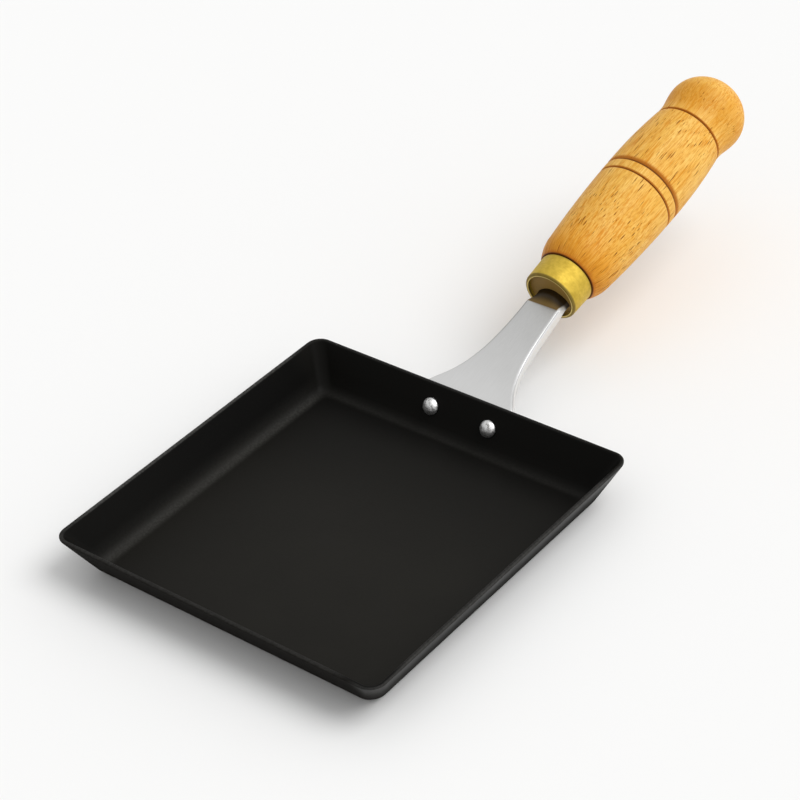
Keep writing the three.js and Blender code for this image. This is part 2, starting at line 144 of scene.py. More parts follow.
class Field:
    """A value that runs through a node tree, so that a rule reads as a formula."""

    def __init__(self, tree: NodeTree, socket: NodeSocket) -> None:
        """Wraps one output socket of a tree."""
        self.tree = tree
        self.socket = socket

    def math(self, operation: str, *others: Value) -> "Field":
        """Applies one Math operation to this value and the others."""
        return math_field(self.tree, operation, self, *others)

    def __add__(self, other: Value) -> "Field":
        """Sum of two values."""
        return self.math("ADD", other)

    __radd__ = __add__

    def __sub__(self, other: Value) -> "Field":
        """This value less another."""
        return self.math("SUBTRACT", other)

    def __rsub__(self, other: Value) -> "Field":
        """Another value less this one."""
        return math_field(self.tree, "SUBTRACT", other, self)

    def __mul__(self, other: Value) -> "Field":
        """Product of two values."""
        return self.math("MULTIPLY", other)

    __rmul__ = __mul__

    def __truediv__(self, other: Value) -> "Field":
        """This value divided by another."""
        return self.math("DIVIDE", other)

    def __pow__(self, other: Value) -> "Field":
        """This value raised to a power."""
        return self.math("POWER", other)

    def __neg__(self) -> "Field":
        """This value with its sign turned."""
        return -1.0 * self

    def __abs__(self) -> "Field":
        """This value without its sign."""
        return self.math("ABSOLUTE")

    def root(self) -> "Field":
        """The square root of this value."""
        return self.math("SQRT")

    def above(self, other: Value) -> "Field":
        """1 where this value is greater than another, else 0."""
        return self.math("GREATER_THAN", other)

    def at_least(self, other: Value) -> "Field":
        """The greater of this value and another."""
        return self.math("MAXIMUM", other)

    def clamped(self) -> "Field":
        """This value kept between 0 and 1."""
        return self.at_least(0.0).math("MINIMUM", 1.0)

    def soft(self, low: Value, high: Value) -> "Field":
        """A soft rise from 0 at low to 1 at high."""
        share = ((self - low) / (high - low)).clamped()
        return share * share * (3.0 - 2.0 * share)

    def near(self, place: float, reach: float) -> "Field":
        """A soft bump, 1 at a place and 0 at a reach from it."""
        return 1.0 - (abs(self - place) / reach).soft(0.0, 1.0)

    def towards(self, other: Value, share: Value) -> "Field":
        """The value a share of the way from this one to another."""
        return self + (other - self) * share

    def between(self, start: float, end: float) -> "Field":
        """The value that runs from start to end as this mask runs from 0 to 1."""
        return start + (end - start) * self

    def lifted(self, share: float) -> "Field":
        """This mask raised, so that it runs from 1 less a share up to 1."""
        return self.between(1.0 - share, 1.0)


@dataclass(frozen=True)
class Fade:
    """A soft change between two places on a scale, with its share at the full."""

    low: float
    high: float
    share: float = 1.0

    def up(self, value: Field) -> Field:
        """The change as a rise, from 0 at low to its share at high."""
        return self.share * value.soft(self.low, self.high)

    def down(self, value: Field) -> Field:
        """The change as a fall, from 1 at low to 1 less its share at high."""
        return 1.0 - self.up(value)


def weighed(shares: Shares, *masks: Field) -> Field:
    """Adds masks up, each with its own share."""
    terms = [share * mask for share, mask in zip(shares, masks, strict=True)]
    return sum(terms[1:], terms[0])


def opaque(paint: object) -> object:
    """A plain colour with its alpha, or anything else as it is."""
    return (*paint, 1.0) if isinstance(paint, tuple) else paint


def plug(tree: NodeTree, slot: NodeSocket, value: object) -> None:
    """Wires a value into an input socket, or sets the socket where the value is a constant.

    Args:
        tree: The node tree.
        slot: The input socket.
        value: A Field, a socket, or a plain value.
    """
    if isinstance(value, Field):
        value = value.socket
    if isinstance(value, NodeSocket):
        tree.links.new(value, slot)
    else:
        slot.default_value = value


def math_field(tree: NodeTree, operation: str, *values: Value) -> Field:
    """Adds a Math node.

    Args:
        tree: The node tree.
        operation: The Math operation.
        values: Its operands.

    Returns:
        The node's result.
    """
    node = tree.nodes.new("ShaderNodeMath")
    node.operation = operation
    for slot, value in zip(node.inputs, values):
        plug(tree, slot, value)
    return Field(tree, node.outputs[0])


class Graph:
    """One node tree and the means to add wired nodes to it."""

    def __init__(self, tree: NodeTree) -> None:
        """Works on an existing tree."""
        self.tree = tree

    def node(self, kind: str, inputs: Inputs | None = None, **settings: object) -> Node:
        """Adds a node.

        Args:
            kind: The node's type name.
            inputs: Values or wires for its input sockets, by name or number.
            settings: The node's own settings.

        Returns:
            The new node.
        """
        node = self.tree.nodes.new(kind)
        for name, value in settings.items():
            setattr(node, name, value)
        for key, value in (inputs or {}).items():
            plug(self.tree, node.inputs[key], value)
        return node

    def field(
        self, kind: str, inputs: Inputs | None = None, output: str | int = 0, **settings: object
    ) -> Field:
        """Adds a node and returns one of its outputs."""
        return Field(self.tree, self.node(kind, inputs, **settings).outputs[output])

    def split(self, vector: Field) -> list[Field]:
        """The three coordinates of a vector."""
        node = self.node("ShaderNodeSeparateXYZ", {0: vector})
        return [Field(self.tree, socket) for socket in node.outputs]

    def vector(self, *values: Value) -> Field:
        """A vector from its coordinates."""
        return self.field("ShaderNodeCombineXYZ", dict(enumerate(values)))

    def noise(self, place: Field, scale: float, detail: float, roughness: float = 0.5) -> Field:
        """Soft noise at a place, with its count, its octaves and how strong the finer ones are."""
        inputs = {"Vector": place, "Scale": scale, "Detail": detail, "Roughness": roughness}
        return self.field("ShaderNodeTexNoise", inputs)

    def blend(self, start: Paint, end: Paint, share: Value) -> Field:
        """A colour a share of the way from one to another."""
        inputs = {0: share, COLOUR_A: opaque(start), COLOUR_B: opaque(end)}
        return self.field("ShaderNodeMix", inputs, COLOUR_OUT, data_type="RGBA")


class NodeGroup(Graph):
    """A new node group with named inputs and outputs."""

    def __init__(self, name: str, kind: str) -> None:
        """Starts an empty group.

        Args:
            name: The group's name.
            kind: The type of its tree, for shaders or for geometry.
        """
        super().__init__(bpy.data.node_groups.new(name, kind))
        self.entry = self.tree.nodes.new("NodeGroupInput")
        self.exit = self.tree.nodes.new("NodeGroupOutput")

    def inlet(self, name: str, kind: str = "Float") -> Field:
        """Adds a named input and returns its value."""
        self.tree.interface.new_socket(name=name, in_out="INPUT", socket_type=f"NodeSocket{kind}")
        return Field(self.tree, self.entry.outputs[name])

    def outlet(self, name: str, value: Field, kind: str = "Float") -> None:
        """Adds a named output that gives a value."""
        self.tree.interface.new_socket(name=name, in_out="OUTPUT", socket_type=f"NodeSocket{kind}")
        plug(self.tree, self.exit.inputs[name], value)


# Turned pieces as rules


@cache
def lathe_group() -> NodeTree:
    """Makes the group that turns a profile, X its radius and Y its place along the axis, round Z.

    Returns:
        The Geometry Nodes group.
    """
    group = NodeGroup("turn_on_lathe", GEOMETRY_TREE)
    profile = group.inlet("Profile", "Geometry")
    sides = group.inlet("Sides", "Int")
    circle = group.field("GeometryNodeCurvePrimitiveCircle", {"Resolution": sides, "Radius": LATHE_REACH})
    level = group.field("GeometryNodeSetCurveNormal", {"Curve": circle}, mode="Z_UP")
    shifted = group.field("GeometryNodeTransform", {
        "Geometry": profile, "Translation": (-LATHE_REACH, 0.0, 0.0), "Scale": (1.0, -1.0, 1.0)})
    swept = group.field("GeometryNodeCurveToMesh", {"Curve": level, "Profile Curve": shifted})
    closed = group.field("GeometryNodeMergeByDistance", {"Geometry": swept, "Distance": LATHE_WELD})
    group.outlet("Solid", closed, "Geometry")
    return group.tree


class TurnedRule(NodeGroup):
    """A Geometry Nodes tree that gathers profile curves and turns them on the lathe."""

    def __init__(self, name: str, finish: Material, sides: int) -> None:
        """Starts an empty rule.

        Args:
            name: The tree's name.
            finish: The material that the piece gets.
            sides: Number of sides round the axis.
        """
        super().__init__(name, GEOMETRY_TREE)
        self.values: dict[str, object] = {"finish": finish, "sides": sides}
        self.finish = self.inlet("finish", "Material")
        self.sides = self.inlet("sides", "Int")
        self.curves: list[Field] = []

    def sizes(self, **values: float) -> list[Field]:
        """Adds named sizes as inputs, and keeps the values that the piece gives them."""
        self.values.update(values)
        return [self.inlet(name) for name in values]

    def line(self, start: Spot, end: Spot) -> None:
        """Adds a straight run of the profile, as radius and place along the axis."""
        ends = {"Start": self.vector(*start), "End": self.vector(*end)}
        self.curves.append(self.field("GeometryNodeCurvePrimitiveLine", ends))

    def arc(self, centre: Spot, radius: Value, start: Value, sweep: Value, points: int) -> None:
        """Adds an arc of the profile.

        Args:
            centre: Its middle, as radius and place along the axis.
            radius: Its own radius.
            start: First angle, in radians.
            sweep: Angle that it covers, in radians.
            points: Number of points on it.
        """
        inputs = {"Resolution": points, "Radius": radius, "Start Angle": start, "Sweep Angle": sweep}
        arc = self.field("GeometryNodeCurveArc", inputs, mode="RADIUS")
        self.curves.append(self.moved(arc, self.vector(*centre)))

    def run(self, length: Value, points: int, radius: Callable[[Field], Field], offset: Value) -> None:
        """Adds a run of the profile whose radius follows a rule.

        Args:
            length: Length of the run along the axis.
            points: Number of points on it.
            radius: Gives the radius at a distance from the run's start.
            offset: Place of the run's start along the axis.
        """
        line = self.field("GeometryNodeCurvePrimitiveLine", {"End": self.vector(0.0, length, 0.0)})
        fine = self.field("GeometryNodeResampleCurve", {"Curve": line, "Count": points}, mode="COUNT")
        along = self.split(self.field("GeometryNodeInputPosition"))[1]
        place = self.vector(radius(along), along + offset, 0.0)
        self.curves.append(self.field("GeometryNodeSetPosition", {"Geometry": fine, "Position": place}))

    def moved(self, shape: Field, place: Field | Place, turn: Place = (0.0, 0.0, 0.0)) -> Field:
        """A shape turned about the origin and moved to a place."""
        inputs = {"Geometry": shape, "Translation": place, "Rotation": turn}
        return self.field("GeometryNodeTransform", inputs)

    def turned(self) -> Field:
        """Turns the gathered profile on the lathe.

        Returns:
            The solid, along the Z axis.
        """
        join = self.node("GeometryNodeJoinGeometry")
        for curve in self.curves:
            self.tree.links.new(curve.socket, join.inputs[0])
        inputs = {"Profile": join.outputs[0], "Sides": self.sides}
        return self.field("GeometryNodeGroup", inputs, node_tree=lathe_group())

    def grow(self, name: str, solid: Field) -> Object:
        """Ends the rule with a solid, runs it and keeps the result as a plain mesh.

        Args:
            name: The new piece's name.
            solid: What the rule makes.

        Returns:
            The piece, with no modifier left on it.
        """
        real = self.field("GeometryNodeRealizeInstances", {"Geometry": solid})
        dressed = self.field("GeometryNodeSetMaterial", {"Geometry": real, "Material": self.finish})
        self.outlet("Geometry", dressed, "Geometry")
        piece = linked(name, bpy.data.meshes.new(name))
        modifier = piece.modifiers.new("rule", "NODES")
        modifier.node_group = self.tree
        for item in self.tree.interface.items_tree:
            if item.in_out == "INPUT":
                modifier[item.identifier] = self.values[item.name]
        settle(piece)
        return piece


# Meshes


def linked(name: str, data: ID) -> Object:
    """Makes an object from a mesh, a lamp or a camera and puts it in the scene.

    Args:
        name: The object's name.
        data: What it shows.

    Returns:
        The new object.
    """
    thing = bpy.data.objects.new(name, data)
    bpy.context.scene.collection.objects.link(thing)
    return thing


def settle(piece: Object) -> None:
    """Applies a piece's modifiers to its mesh.

    Args:
        piece: The piece, which is left with no modifier.
    """
    graph = bpy.context.evaluated_depsgraph_get()
    graph.update()
    mesh = bpy.data.meshes.new_from_object(piece.evaluated_get(graph), depsgraph=graph)
    piece.modifiers.clear()
    piece.data = mesh
    mesh.name = piece.name


def skin(shape: BMesh, loops: Iterable[Sequence[Vector]]) -> list[list[BMVert]]:
    """Joins closed loops of points, all of one length, into an open tube.

    Args:
        shape: The bmesh that gets the tube.
        loops: The loops, in order along the tube.

    Returns:
        The vertices of each loop.
    """
    rows = [[shape.verts.new(spot) for spot in loop] for loop in loops]
    for near, far in zip(rows, rows[1:]):
        for i, vert in enumerate(near):
            after = (i + 1) % len(near)
            shape.faces.new((vert, near[after], far[after], far[i]))
    return rows


def from_bmesh(name: str, shape: BMesh, finish: Material | None = None) -> Object:
    """Makes an object from a bmesh, with its faces pointing out.

    Args:
        name: The object's name.
        shape: The bmesh, which is freed.
        finish: Its material, if it has one.

    Returns:
        The linked object.
    """
    bmesh.ops.recalc_face_normals(shape, faces=shape.faces)
    mesh = bpy.data.meshes.new(name)
    shape.to_mesh(mesh)
    shape.free()
    if finish:
        mesh.materials.append(finish)
    return linked(name, mesh)


def carve(piece: Object, cutters: Iterable[Object]) -> None:
    """Cuts other solids out of a piece and removes them.

    Args:
        piece: The piece to cut.
        cutters: The solids to cut out of it.
    """
    tools = list(cutters)
    for tool in tools:
        cut = piece.modifiers.new("cut", "BOOLEAN")
        cut.operation = "DIFFERENCE"
        cut.solver = "EXACT"
        cut.object = tool
    settle(piece)
    for tool in tools:
        bpy.data.objects.remove(tool)


def soften(piece: Object, crisp: float) -> None:
    """Clears slivers off a piece and shades it smooth between its crisp edges.

    Args:
        piece: The piece.
        crisp: Angle past which an edge stays crisp, in radians.
    """
    shape = bmesh.new()
    shape.from_mesh(piece.data)
    bmesh.ops.remove_doubles(shape, verts=shape.verts, dist=SLIVER)
    bmesh.ops.dissolve_degenerate(shape, edges=shape.edges, dist=SLIVER)
    bmesh.ops.recalc_face_normals(shape, faces=shape.faces)
    shape.to_mesh(piece.data)
    shape.free()
    piece.data.shade_smooth()
    piece.data.set_sharp_from_angle(angle=crisp)


def install(piece: Object, slot: Slot, *nodes: str) -> None:
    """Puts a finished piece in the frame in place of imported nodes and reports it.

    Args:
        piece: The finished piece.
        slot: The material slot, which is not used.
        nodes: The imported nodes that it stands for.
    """
    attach(piece, BODY)
    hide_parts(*nodes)
    log.info("%s: %d faces, stands for %s", piece.name, len(piece.data.polygons), ", ".join(nodes))


# Shared effects


@dataclass(frozen=True)
class Pattern:
    """A mask that several finishes use: noise with one count along Y and another across it."""

    name: str
    detail: float
    roughness: float
    contrast: Fade | None = None

    @cache
    def tree(self) -> NodeTree:
        """Makes the pattern's node group, once.

        Returns:
            The shader node group.
        """
        group = NodeGroup(self.name, SHADER_TREE)
        place = group.inlet("Place", "Vector")
        across, along = group.inlet("Across"), group.inlet("Along")
        x, y, z = group.split(place)
        drawn = group.vector(x * across, y * along, z * across)
        noise = group.noise(drawn, 1.0, self.detail, self.roughness)
        group.outlet("Mask", self.contrast.up(noise) if self.contrast else noise)
        return group.tree


STREAKS = Pattern("drawn_streaks", 4.0, 0.62, Fade(0.28, 0.72))
PATCHES = Pattern("soft_patches", 2.5, 0.55, Fade(0.33, 0.67))
GRAIN = Pattern("fine_grain", 3.0, 0.60)


class Dressing(Graph):
    """A new material with its Principled shader and its coordinates in millimetres."""

    def __init__(self, name: str, spot: Vector | None = None, rise: float = 0.0) -> None:
        """Starts a material.

        Args:
            name: The material's name.
            spot: Origin of its pattern, in metres.
            rise: Tilt of the pattern's Y axis above the level, in radians.
        """
        self.material = bpy.data.materials.new(name)
        self.material.use_nodes = True
        super().__init__(self.material.node_tree)
        self.shader = self.tree.nodes["Principled BSDF"]
        turn = Matrix.Rotation(-rise, 3, "X")
        shift = -(turn @ (spot or Vector())) * MM_PER_METRE
        self.place = self.field("ShaderNodeMapping", {
            "Vector": self.field("ShaderNodeTexCoord", output="Object"),
            "Location": tuple(shift), "Rotation": (-rise, 0.0, 0.0), "Scale": (MM_PER_METRE,) * 3})
        self.x, self.y, self.z = self.split(self.place)

    def radius(self) -> Field:
        """Distance from the pattern's Y axis."""
        return (self.x * self.x + self.z * self.z).root()

    def mask(self, pattern: Pattern, across: float, along: float) -> Field:
        """A shared pattern, with its counts across and along Y."""
        inputs = {"Place": self.place, "Across": across, "Along": along}
        return self.field("ShaderNodeGroup", inputs, node_tree=pattern.tree())

    def streaks(self, across: float, along: float) -> Field:
        """Lines along Y: brushing on steel, turning marks on brass, fibres in wood."""
        return self.mask(STREAKS, across, along)

    def patches(self, scale: float) -> Field:
        """Soft blotches: tarnish, handling marks and uneven colour."""
        return self.mask(PATCHES, scale, scale)

    def grain(self, scale: float) -> Field:
        """Fine pebbled grain: the sprayed coat and the hammered rivets."""
        return self.mask(GRAIN, scale, scale)

    def surface(self, **values: object) -> None:
        """Sets or wires the shader's sockets.

        Args:
            values: What each socket gets, by its name with underscores for spaces.
        """
        for name, value in values.items():
            words = name.replace("_", " ").title().replace("Ior", "IOR")
            plug(self.tree, self.shader.inputs[words], opaque(value))

    def bump(self, height: Field, strength: float, depth: float) -> None:
        """Raises the surface by a height, with its depth in metres."""
        raised = self.field("ShaderNodeBump", {"Height": height, "Strength": strength, "Distance": depth})
        plug(self.tree, self.shader.inputs["Normal"], raised)


# Finishes


@dataclass(frozen=True)
class BlackCoat:
    """The pan's matte black coat: sprayed grain, a floor worn lighter in patches with painted light and
    shade, a painted highlight along the fillet and the rim, and a greyer outside with painted shade.
    """

    deep: Colour = (0.0024, 0.0023, 0.0020)
    # Lighter floor tone: part wear, part painted light
    worn_and_lit: Colour = (0.0140, 0.0132, 0.0112)
    # Painted highlight colour for the fillet round the floor
    fillet_highlight: Colour = (0.0330, 0.0320, 0.0290)
    outside: Colour = (0.0300, 0.0295, 0.0280)
    # Painted shade colour for the outside's front wall and lower part
    shaded_outside: Colour = (0.0125, 0.0116, 0.0102)
    # Painted highlight colour along the rim
    rim_highlight: Colour = (0.0480, 0.0468, 0.0440)
    patch_scale: float = 0.035
    grain_scale: float = 2.4
    speckle_scale: float = 1.1
    speckle_contrast: Fade = Fade(0.38, 0.62)
    by_wall: Fade = Fade(54.0, 66.0)
    # Floor lighter than the walls as painted light, painted shade towards the back and left, random wear, and
    # painted light on the back wall and towards the front
    floor_top: Fade = Fade(2.2, 6.4)
    dim_behind: Fade = Fade(-10.0, 62.0, 0.50)
    dim_left: Fade = Fade(5.0, 60.0, 0.24)
    dim_back_edge: Fade = Fade(46.0, 61.0, 0.55)
    wear_patch: float = 0.12
    wear_grain: float = 0.10
    lit_back_wall: float = 0.28
    lit_front: Fade = Fade(-30.0, 60.0, 0.16)
    # Where the painted fillet highlight lies, and how strong it is
    corner_blend: float = 5.0
    crease_at: float = 63.4
    crease_reach: float = 3.0
    crease_share: float = 0.78
    crease_speckle: float = 0.45
    skirt_foot: Fade = Fade(2.2, 3.2, 0.26)
    skirt_top: Fade = Fade(3.2, 9.0)
    skirt_speckle: float = 0.30
    spared_back: float = 0.78
    outer_face: Fade = Fade(-1.3, -0.6)
    outer_speckle: float = 0.38
    # Height of the painted shade on the outside, and its fade towards the right wall
    shade_height: Fade = Fade(1.0, 16.0)
    shade_right_edge: Fade = Fade(62.0, 70.0)
    # Where the painted rim highlight lies, and how much the back, front and right are spared
    rim_from: float = 17.3
    rim_speckle: float = 0.45
    rim_spared: Shares = (0.80, 0.58, 0.45)
    smooth: float = 0.34
    dull: float = 0.50
    dull_shares: Shares = (0.5, 0.5)
    # Roughness of the outside where it has painted shade
    soot: float = 0.95
    gloss: float = 0.052
    bump_speckle: float = 0.6
    bump_strength: float = 0.40
    bump_depth: float = mm(0.035)

    def material(self, pan: "Pan") -> Material:
        """Builds the coat's material.

        Args:
            pan: The pan that wears the coat.

        Returns:
            The material.
        """
        dress = Dressing("black_coat")
        x, y, z = dress.x, dress.y, dress.z
        patch = dress.patches(self.patch_scale)
        grain = dress.grain(self.grain_scale)
        speckle = self.speckle_contrast.up(dress.grain(self.speckle_scale))
        back, front, right = (self.by_wall.up(way) for way in (y, -y, x))

        # The floor: lighter than the walls as painted light, worn lighter in random patches, painted shade
        # towards the back and left, and painted light towards the front and on the back wall
        centred = (self.dim_behind.down(y) - self.dim_left.up(-x)) * self.dim_back_edge.down(y)
        wear_and_light = self.floor_top.down(z) * centred * patch.lifted(self.wear_patch)
        wear_and_light = (wear_and_light + self.wear_grain * (grain - NOISE_MIDDLE)).clamped()
        wear_and_light = wear_and_light.at_least(self.lit_back_wall * back).at_least(self.lit_front.up(-y))
        coat = dress.blend(self.deep, self.worn_and_lit, wear_and_light)

        # Painted highlight along the fillet round the floor, weaker on the back wall
        rounded = abs(x).math("SMOOTH_MAX", abs(y), self.corner_blend)
        crease = rounded.near(self.crease_at, self.crease_reach) * speckle.lifted(self.crease_speckle)
        skirt = self.skirt_foot.up(z) * self.skirt_top.down(z) * speckle.lifted(self.skirt_speckle)
        fillet = (self.crease_share * crease).at_least(skirt) * (1.0 - self.spared_back * back)
        coat = dress.blend(coat, self.fillet_highlight, fillet)

        # The greyer outside, with painted shade low down and on the front wall
        outer = self.outer_face.up(self.beyond(dress, pan))
        shaded = (front * self.shade_right_edge.down(x)).at_least(self.shade_height.down(z))
        wall = dress.blend(self.outside, self.shaded_outside, shaded)
        coat = dress.blend(coat, wall, outer * speckle.lifted(self.outer_speckle))

        # Painted highlight along the rim, kept off the back, front and right
        rim = z.soft(self.rim_from, to_mm(pan.height)) * speckle.lifted(self.rim_speckle)
        rim_highlight = rim * (1.0 - weighed(self.rim_spared, back, front, right)).clamped()
        satin = weighed(self.dull_shares, patch, grain).between(self.smooth, self.dull)
        dress.surface(
            base_color=dress.blend(coat, self.rim_highlight, rim_highlight),
            roughness=satin.towards(self.soot, outer * shaded),
            specular_ior_level=self.gloss,
        )
        dress.bump(grain + self.bump_speckle * speckle, self.bump_strength, self.bump_depth)
        return dress.material

    def beyond(self, dress: Dressing, pan: "Pan") -> Field:
        """Measures how far a point lies outside the pan's round-cornered outer face.

        Args:
            dress: The coat's material.
            pan: The pan that wears the coat.

        Returns:
            The distance in millimetres, below 0 inside the face.
        """
        corner = to_mm(pan.rim_corner)
        straight = dress.z * math.tan(pan.lean) + (to_mm(pan.foot.x) - corner)
        past_x, past_y = abs(dress.x) - straight, abs(dress.y) - straight
        round_x, round_y = past_x.at_least(0.0), past_y.at_least(0.0)
        bowed = (round_x * round_x + round_y * round_y).root()
        return bowed + past_x.at_least(past_y).math("MINIMUM", 0.0) - corner


@dataclass(frozen=True)
class StrapSteel:
    """The bracket's satin steel: brushed along its length, with painted shade towards the ferrule, painted
    light on its turned-down edges and a painted brown shade where it curls into the ferrule.
    """

    bright: Colour = (0.83, 0.83, 0.825)
    dull: Colour = (0.615, 0.615, 0.605)
    # Painted shade along the bends of the turned-down edges; painted light on the edges themselves
    bend: Colour = (0.30, 0.30, 0.298)
    lit_flange: Colour = (0.80, 0.80, 0.795)
    # Painted shade where the strap curls into the ferrule: brown, darker into the mouth
    browned: Colour = (0.285, 0.190, 0.070)
    charred: Colour = (0.050, 0.028, 0.005)
    brush_counts: Counts = (5.0, 0.12)
    patch_scale: float = 0.05
    # Painted shade darkening the steel towards the ferrule
    shade_to_ferrule: Fade = Fade(-62.0, -8.0)
    dull_shares: Shares = (0.20, 0.15, 0.62)
    # Where the painted light on the edges and the painted shade on their bends lie
    flange_from: Fade = Fade(0.0, 0.5)
    bend_from: Fade = Fade(0.0, 0.02)
    bend_to: Fade = Fade(0.25, 0.60)
    bend_to_ferrule: float = 0.45
    curl_from: Fade = Fade(-0.15, 0.35)
    curl_edge: Fade = Fade(-0.9, -0.3)
    curl_patch: float = 0.14
    curl_rough: float = 0.30
    # Where the painted shade on the curl darkens, and the painted shade at the mouth
    shade_behind_crease: float = 0.8
    shade_before_mouth: float = 1.2
    mouth_shade: Fade = Fade(-1.6, 0.2, 0.85)
    smooth: float = 0.30
    rough: float = 0.42
    rough_shares: Shares = (0.6, 0.4)
    bump_strength: float = 0.10
    bump_depth: float = mm(0.015)

    def material(self, bracket: "Bracket") -> Material:
        """Builds the steel's material.

        Args:
            bracket: The bracket that is made of the steel.

        Returns:
            The material.
        """
        dress = Dressing("strap_steel", bracket.mouth, bracket.handle_rise)
        streak = dress.streaks(*self.brush_counts)
        patch = dress.patches(self.patch_scale)
        shade_to_ferrule = self.shade_to_ferrule.up(dress.y)
        crease = to_mm(bracket.tang_lead)
        curl = self.curl_from.up(dress.y + crease)
        top = self.curl_edge.down(dress.x - to_mm(bracket.tang_half))
        turned = dress.field("ShaderNodeAttribute", output="Fac", attribute_name=TURNED_EDGE)

        # Brushing and patches dull the steel, with painted shade towards the ferrule
        dulled = weighed(self.dull_shares, streak, patch, shade_to_ferrule).clamped()
        steel = dress.blend(self.bright, self.dull, dulled)
        # Turned-down edges painted light; their bends painted shade, more towards the ferrule
        steel = dress.blend(steel, self.lit_flange, self.flange_from.up(turned))
        bend = self.bend_from.up(turned) * self.bend_to.down(turned) * (1.0 - curl)
        steel = dress.blend(steel, self.bend, shade_to_ferrule.lifted(self.bend_to_ferrule) * bend)
        # Painted brown shade on the curl's top, darker into the ferrule's mouth
        deeper = dress.y.soft(self.shade_behind_crease - crease, -self.shade_before_mouth)
        curl_painted_shade = dress.blend(self.browned, self.charred, deeper)
        steel = dress.blend(steel, curl_painted_shade, curl * top * patch.lifted(self.curl_patch))
        brushed = weighed(self.rough_shares, streak, patch).between(self.smooth, self.rough)
        # The base colour gets painted shade at the ferrule's mouth
        dress.surface(
            base_color=dress.blend(steel, self.charred, self.mouth_shade.up(dress.y)),
            metallic=1.0,
            roughness=brushed + self.curl_rough * curl,
        )
        dress.bump(streak, self.bump_strength, self.bump_depth)
        return dress.material


@dataclass(frozen=True)
class RivetSteel:
    """The rivets' bright steel, lightly hammered, with soot in the dents."""

    bright: Colour = (0.92, 0.92, 0.915)
    sooty: Colour = (0.30, 0.29, 0.28)
    hammer_scale: float = 0.9
    fine_scale: float = 4.5
    dent_contrast: Fade = Fade(0.38, 0.52)
    dent_soot: float = 0.85
    smooth: float = 0.32
    rough_shares: Shares = (0.18, 0.15)
    bump_strength: float = 0.35
    bump_depth: float = mm(0.12)

    def material(self) -> Material:
        """Builds the rivets' material.

        Returns:
            The material.
        """
        dress = Dressing("rivet_steel")
        hammered = dress.grain(self.hammer_scale)
        fine = dress.grain(self.fine_scale)
        dents = self.dent_soot * self.dent_contrast.down(hammered)
        dress.surface(
            base_color=dress.blend(self.bright, self.sooty, dents),
            metallic=1.0,
            roughness=self.smooth + weighed(self.rough_shares, fine, dents),
        )
        dress.bump(hammered, self.bump_strength, self.bump_depth)
        return dress.material


@dataclass(frozen=True)
class Brass:
    """The ferrule's brass: turning marks round it, tarnish in patches, painted shade on the lip, at the rear
    edge and in the bore, and a painted highlight round the mouth's inner edge.
    """

    bright: Colour = (0.640, 0.445, 0.050)
    tarnished: Colour = (0.460, 0.310, 0.024)
    # Painted shade colour for the lip, the rear edge and the bore
    dark: Colour = (0.150, 0.100, 0.020)
    # Painted highlight colour round the mouth's inner edge
    edge_highlight: Colour = (0.90, 0.70, 0.24)
    turning_counts: Counts = (0.16, 7.0)
    patch_scale: float = 0.14
    mottle_scale: float = 0.6
    tarnish_shares: Shares = (0.36, 0.42, 0.22)
    tarnish_less: float = 0.14
    # Where the painted shade lies: the lip, the rear edge and the bore
    lip: Fade = Fade(0.5, 1.3)
    rear: Fade = Fade(-0.9, 0.0)
    bore_edge: Fade = Fade(-0.02, 0.06)
    shade_shares: Shares = (0.78, 0.45, 0.35)
    # Where the painted highlight round the mouth's inner edge lies
    highlight_at: float = 0.30
    highlight_reach: float = 0.42
    highlight_depth: Fade = Fade(0.2, 0.7)
    highlight_share: float = 0.9
    metal: float = 0.55
    smooth: float = 0.46
    rough_shares: Shares = (0.10, 0.12)
    bump_strength: float = 0.12
    bump_depth: float = mm(0.02)

    def material(self, handle: "Handle") -> Material:
        """Builds the brass's material.

        Args:
            handle: The handle that the ferrule belongs to.

        Returns:
            The material.
        """
        dress = Dressing("brass", handle.bracket.mouth, handle.bracket.handle_rise)
        turning = dress.streaks(*self.turning_counts)
        patch = dress.patches(self.patch_scale)
        mottle = dress.patches(self.mottle_scale)
        past_bore = dress.radius() - to_mm(handle.bore_radius)
        lip = self.lip.down(dress.y)
        rear = self.rear.up(dress.y - to_mm(handle.ferrule_length))
        inside = self.bore_edge.down(past_bore)
        # The mouth's inner edge, which gets a painted highlight
        edge = past_bore.near(self.highlight_at, self.highlight_reach) * self.highlight_depth.down(dress.y)

        tarnish = (weighed(self.tarnish_shares, patch, mottle, turning) - self.tarnish_less).clamped()
        gold = dress.blend(self.bright, self.tarnished, tarnish)
        # Painted shade on the lip, at the rear edge against the wood and in the bore
        gold = dress.blend(gold, self.dark, weighed(self.shade_shares, lip, rear, inside).clamped())
        dress.surface(
            base_color=dress.blend(gold, self.edge_highlight, self.highlight_share * edge),
            metallic=self.metal,
            roughness=self.smooth + weighed(self.rough_shares, turning, tarnish),
        )
        dress.bump(turning, self.bump_strength, self.bump_depth)
        return dress.material


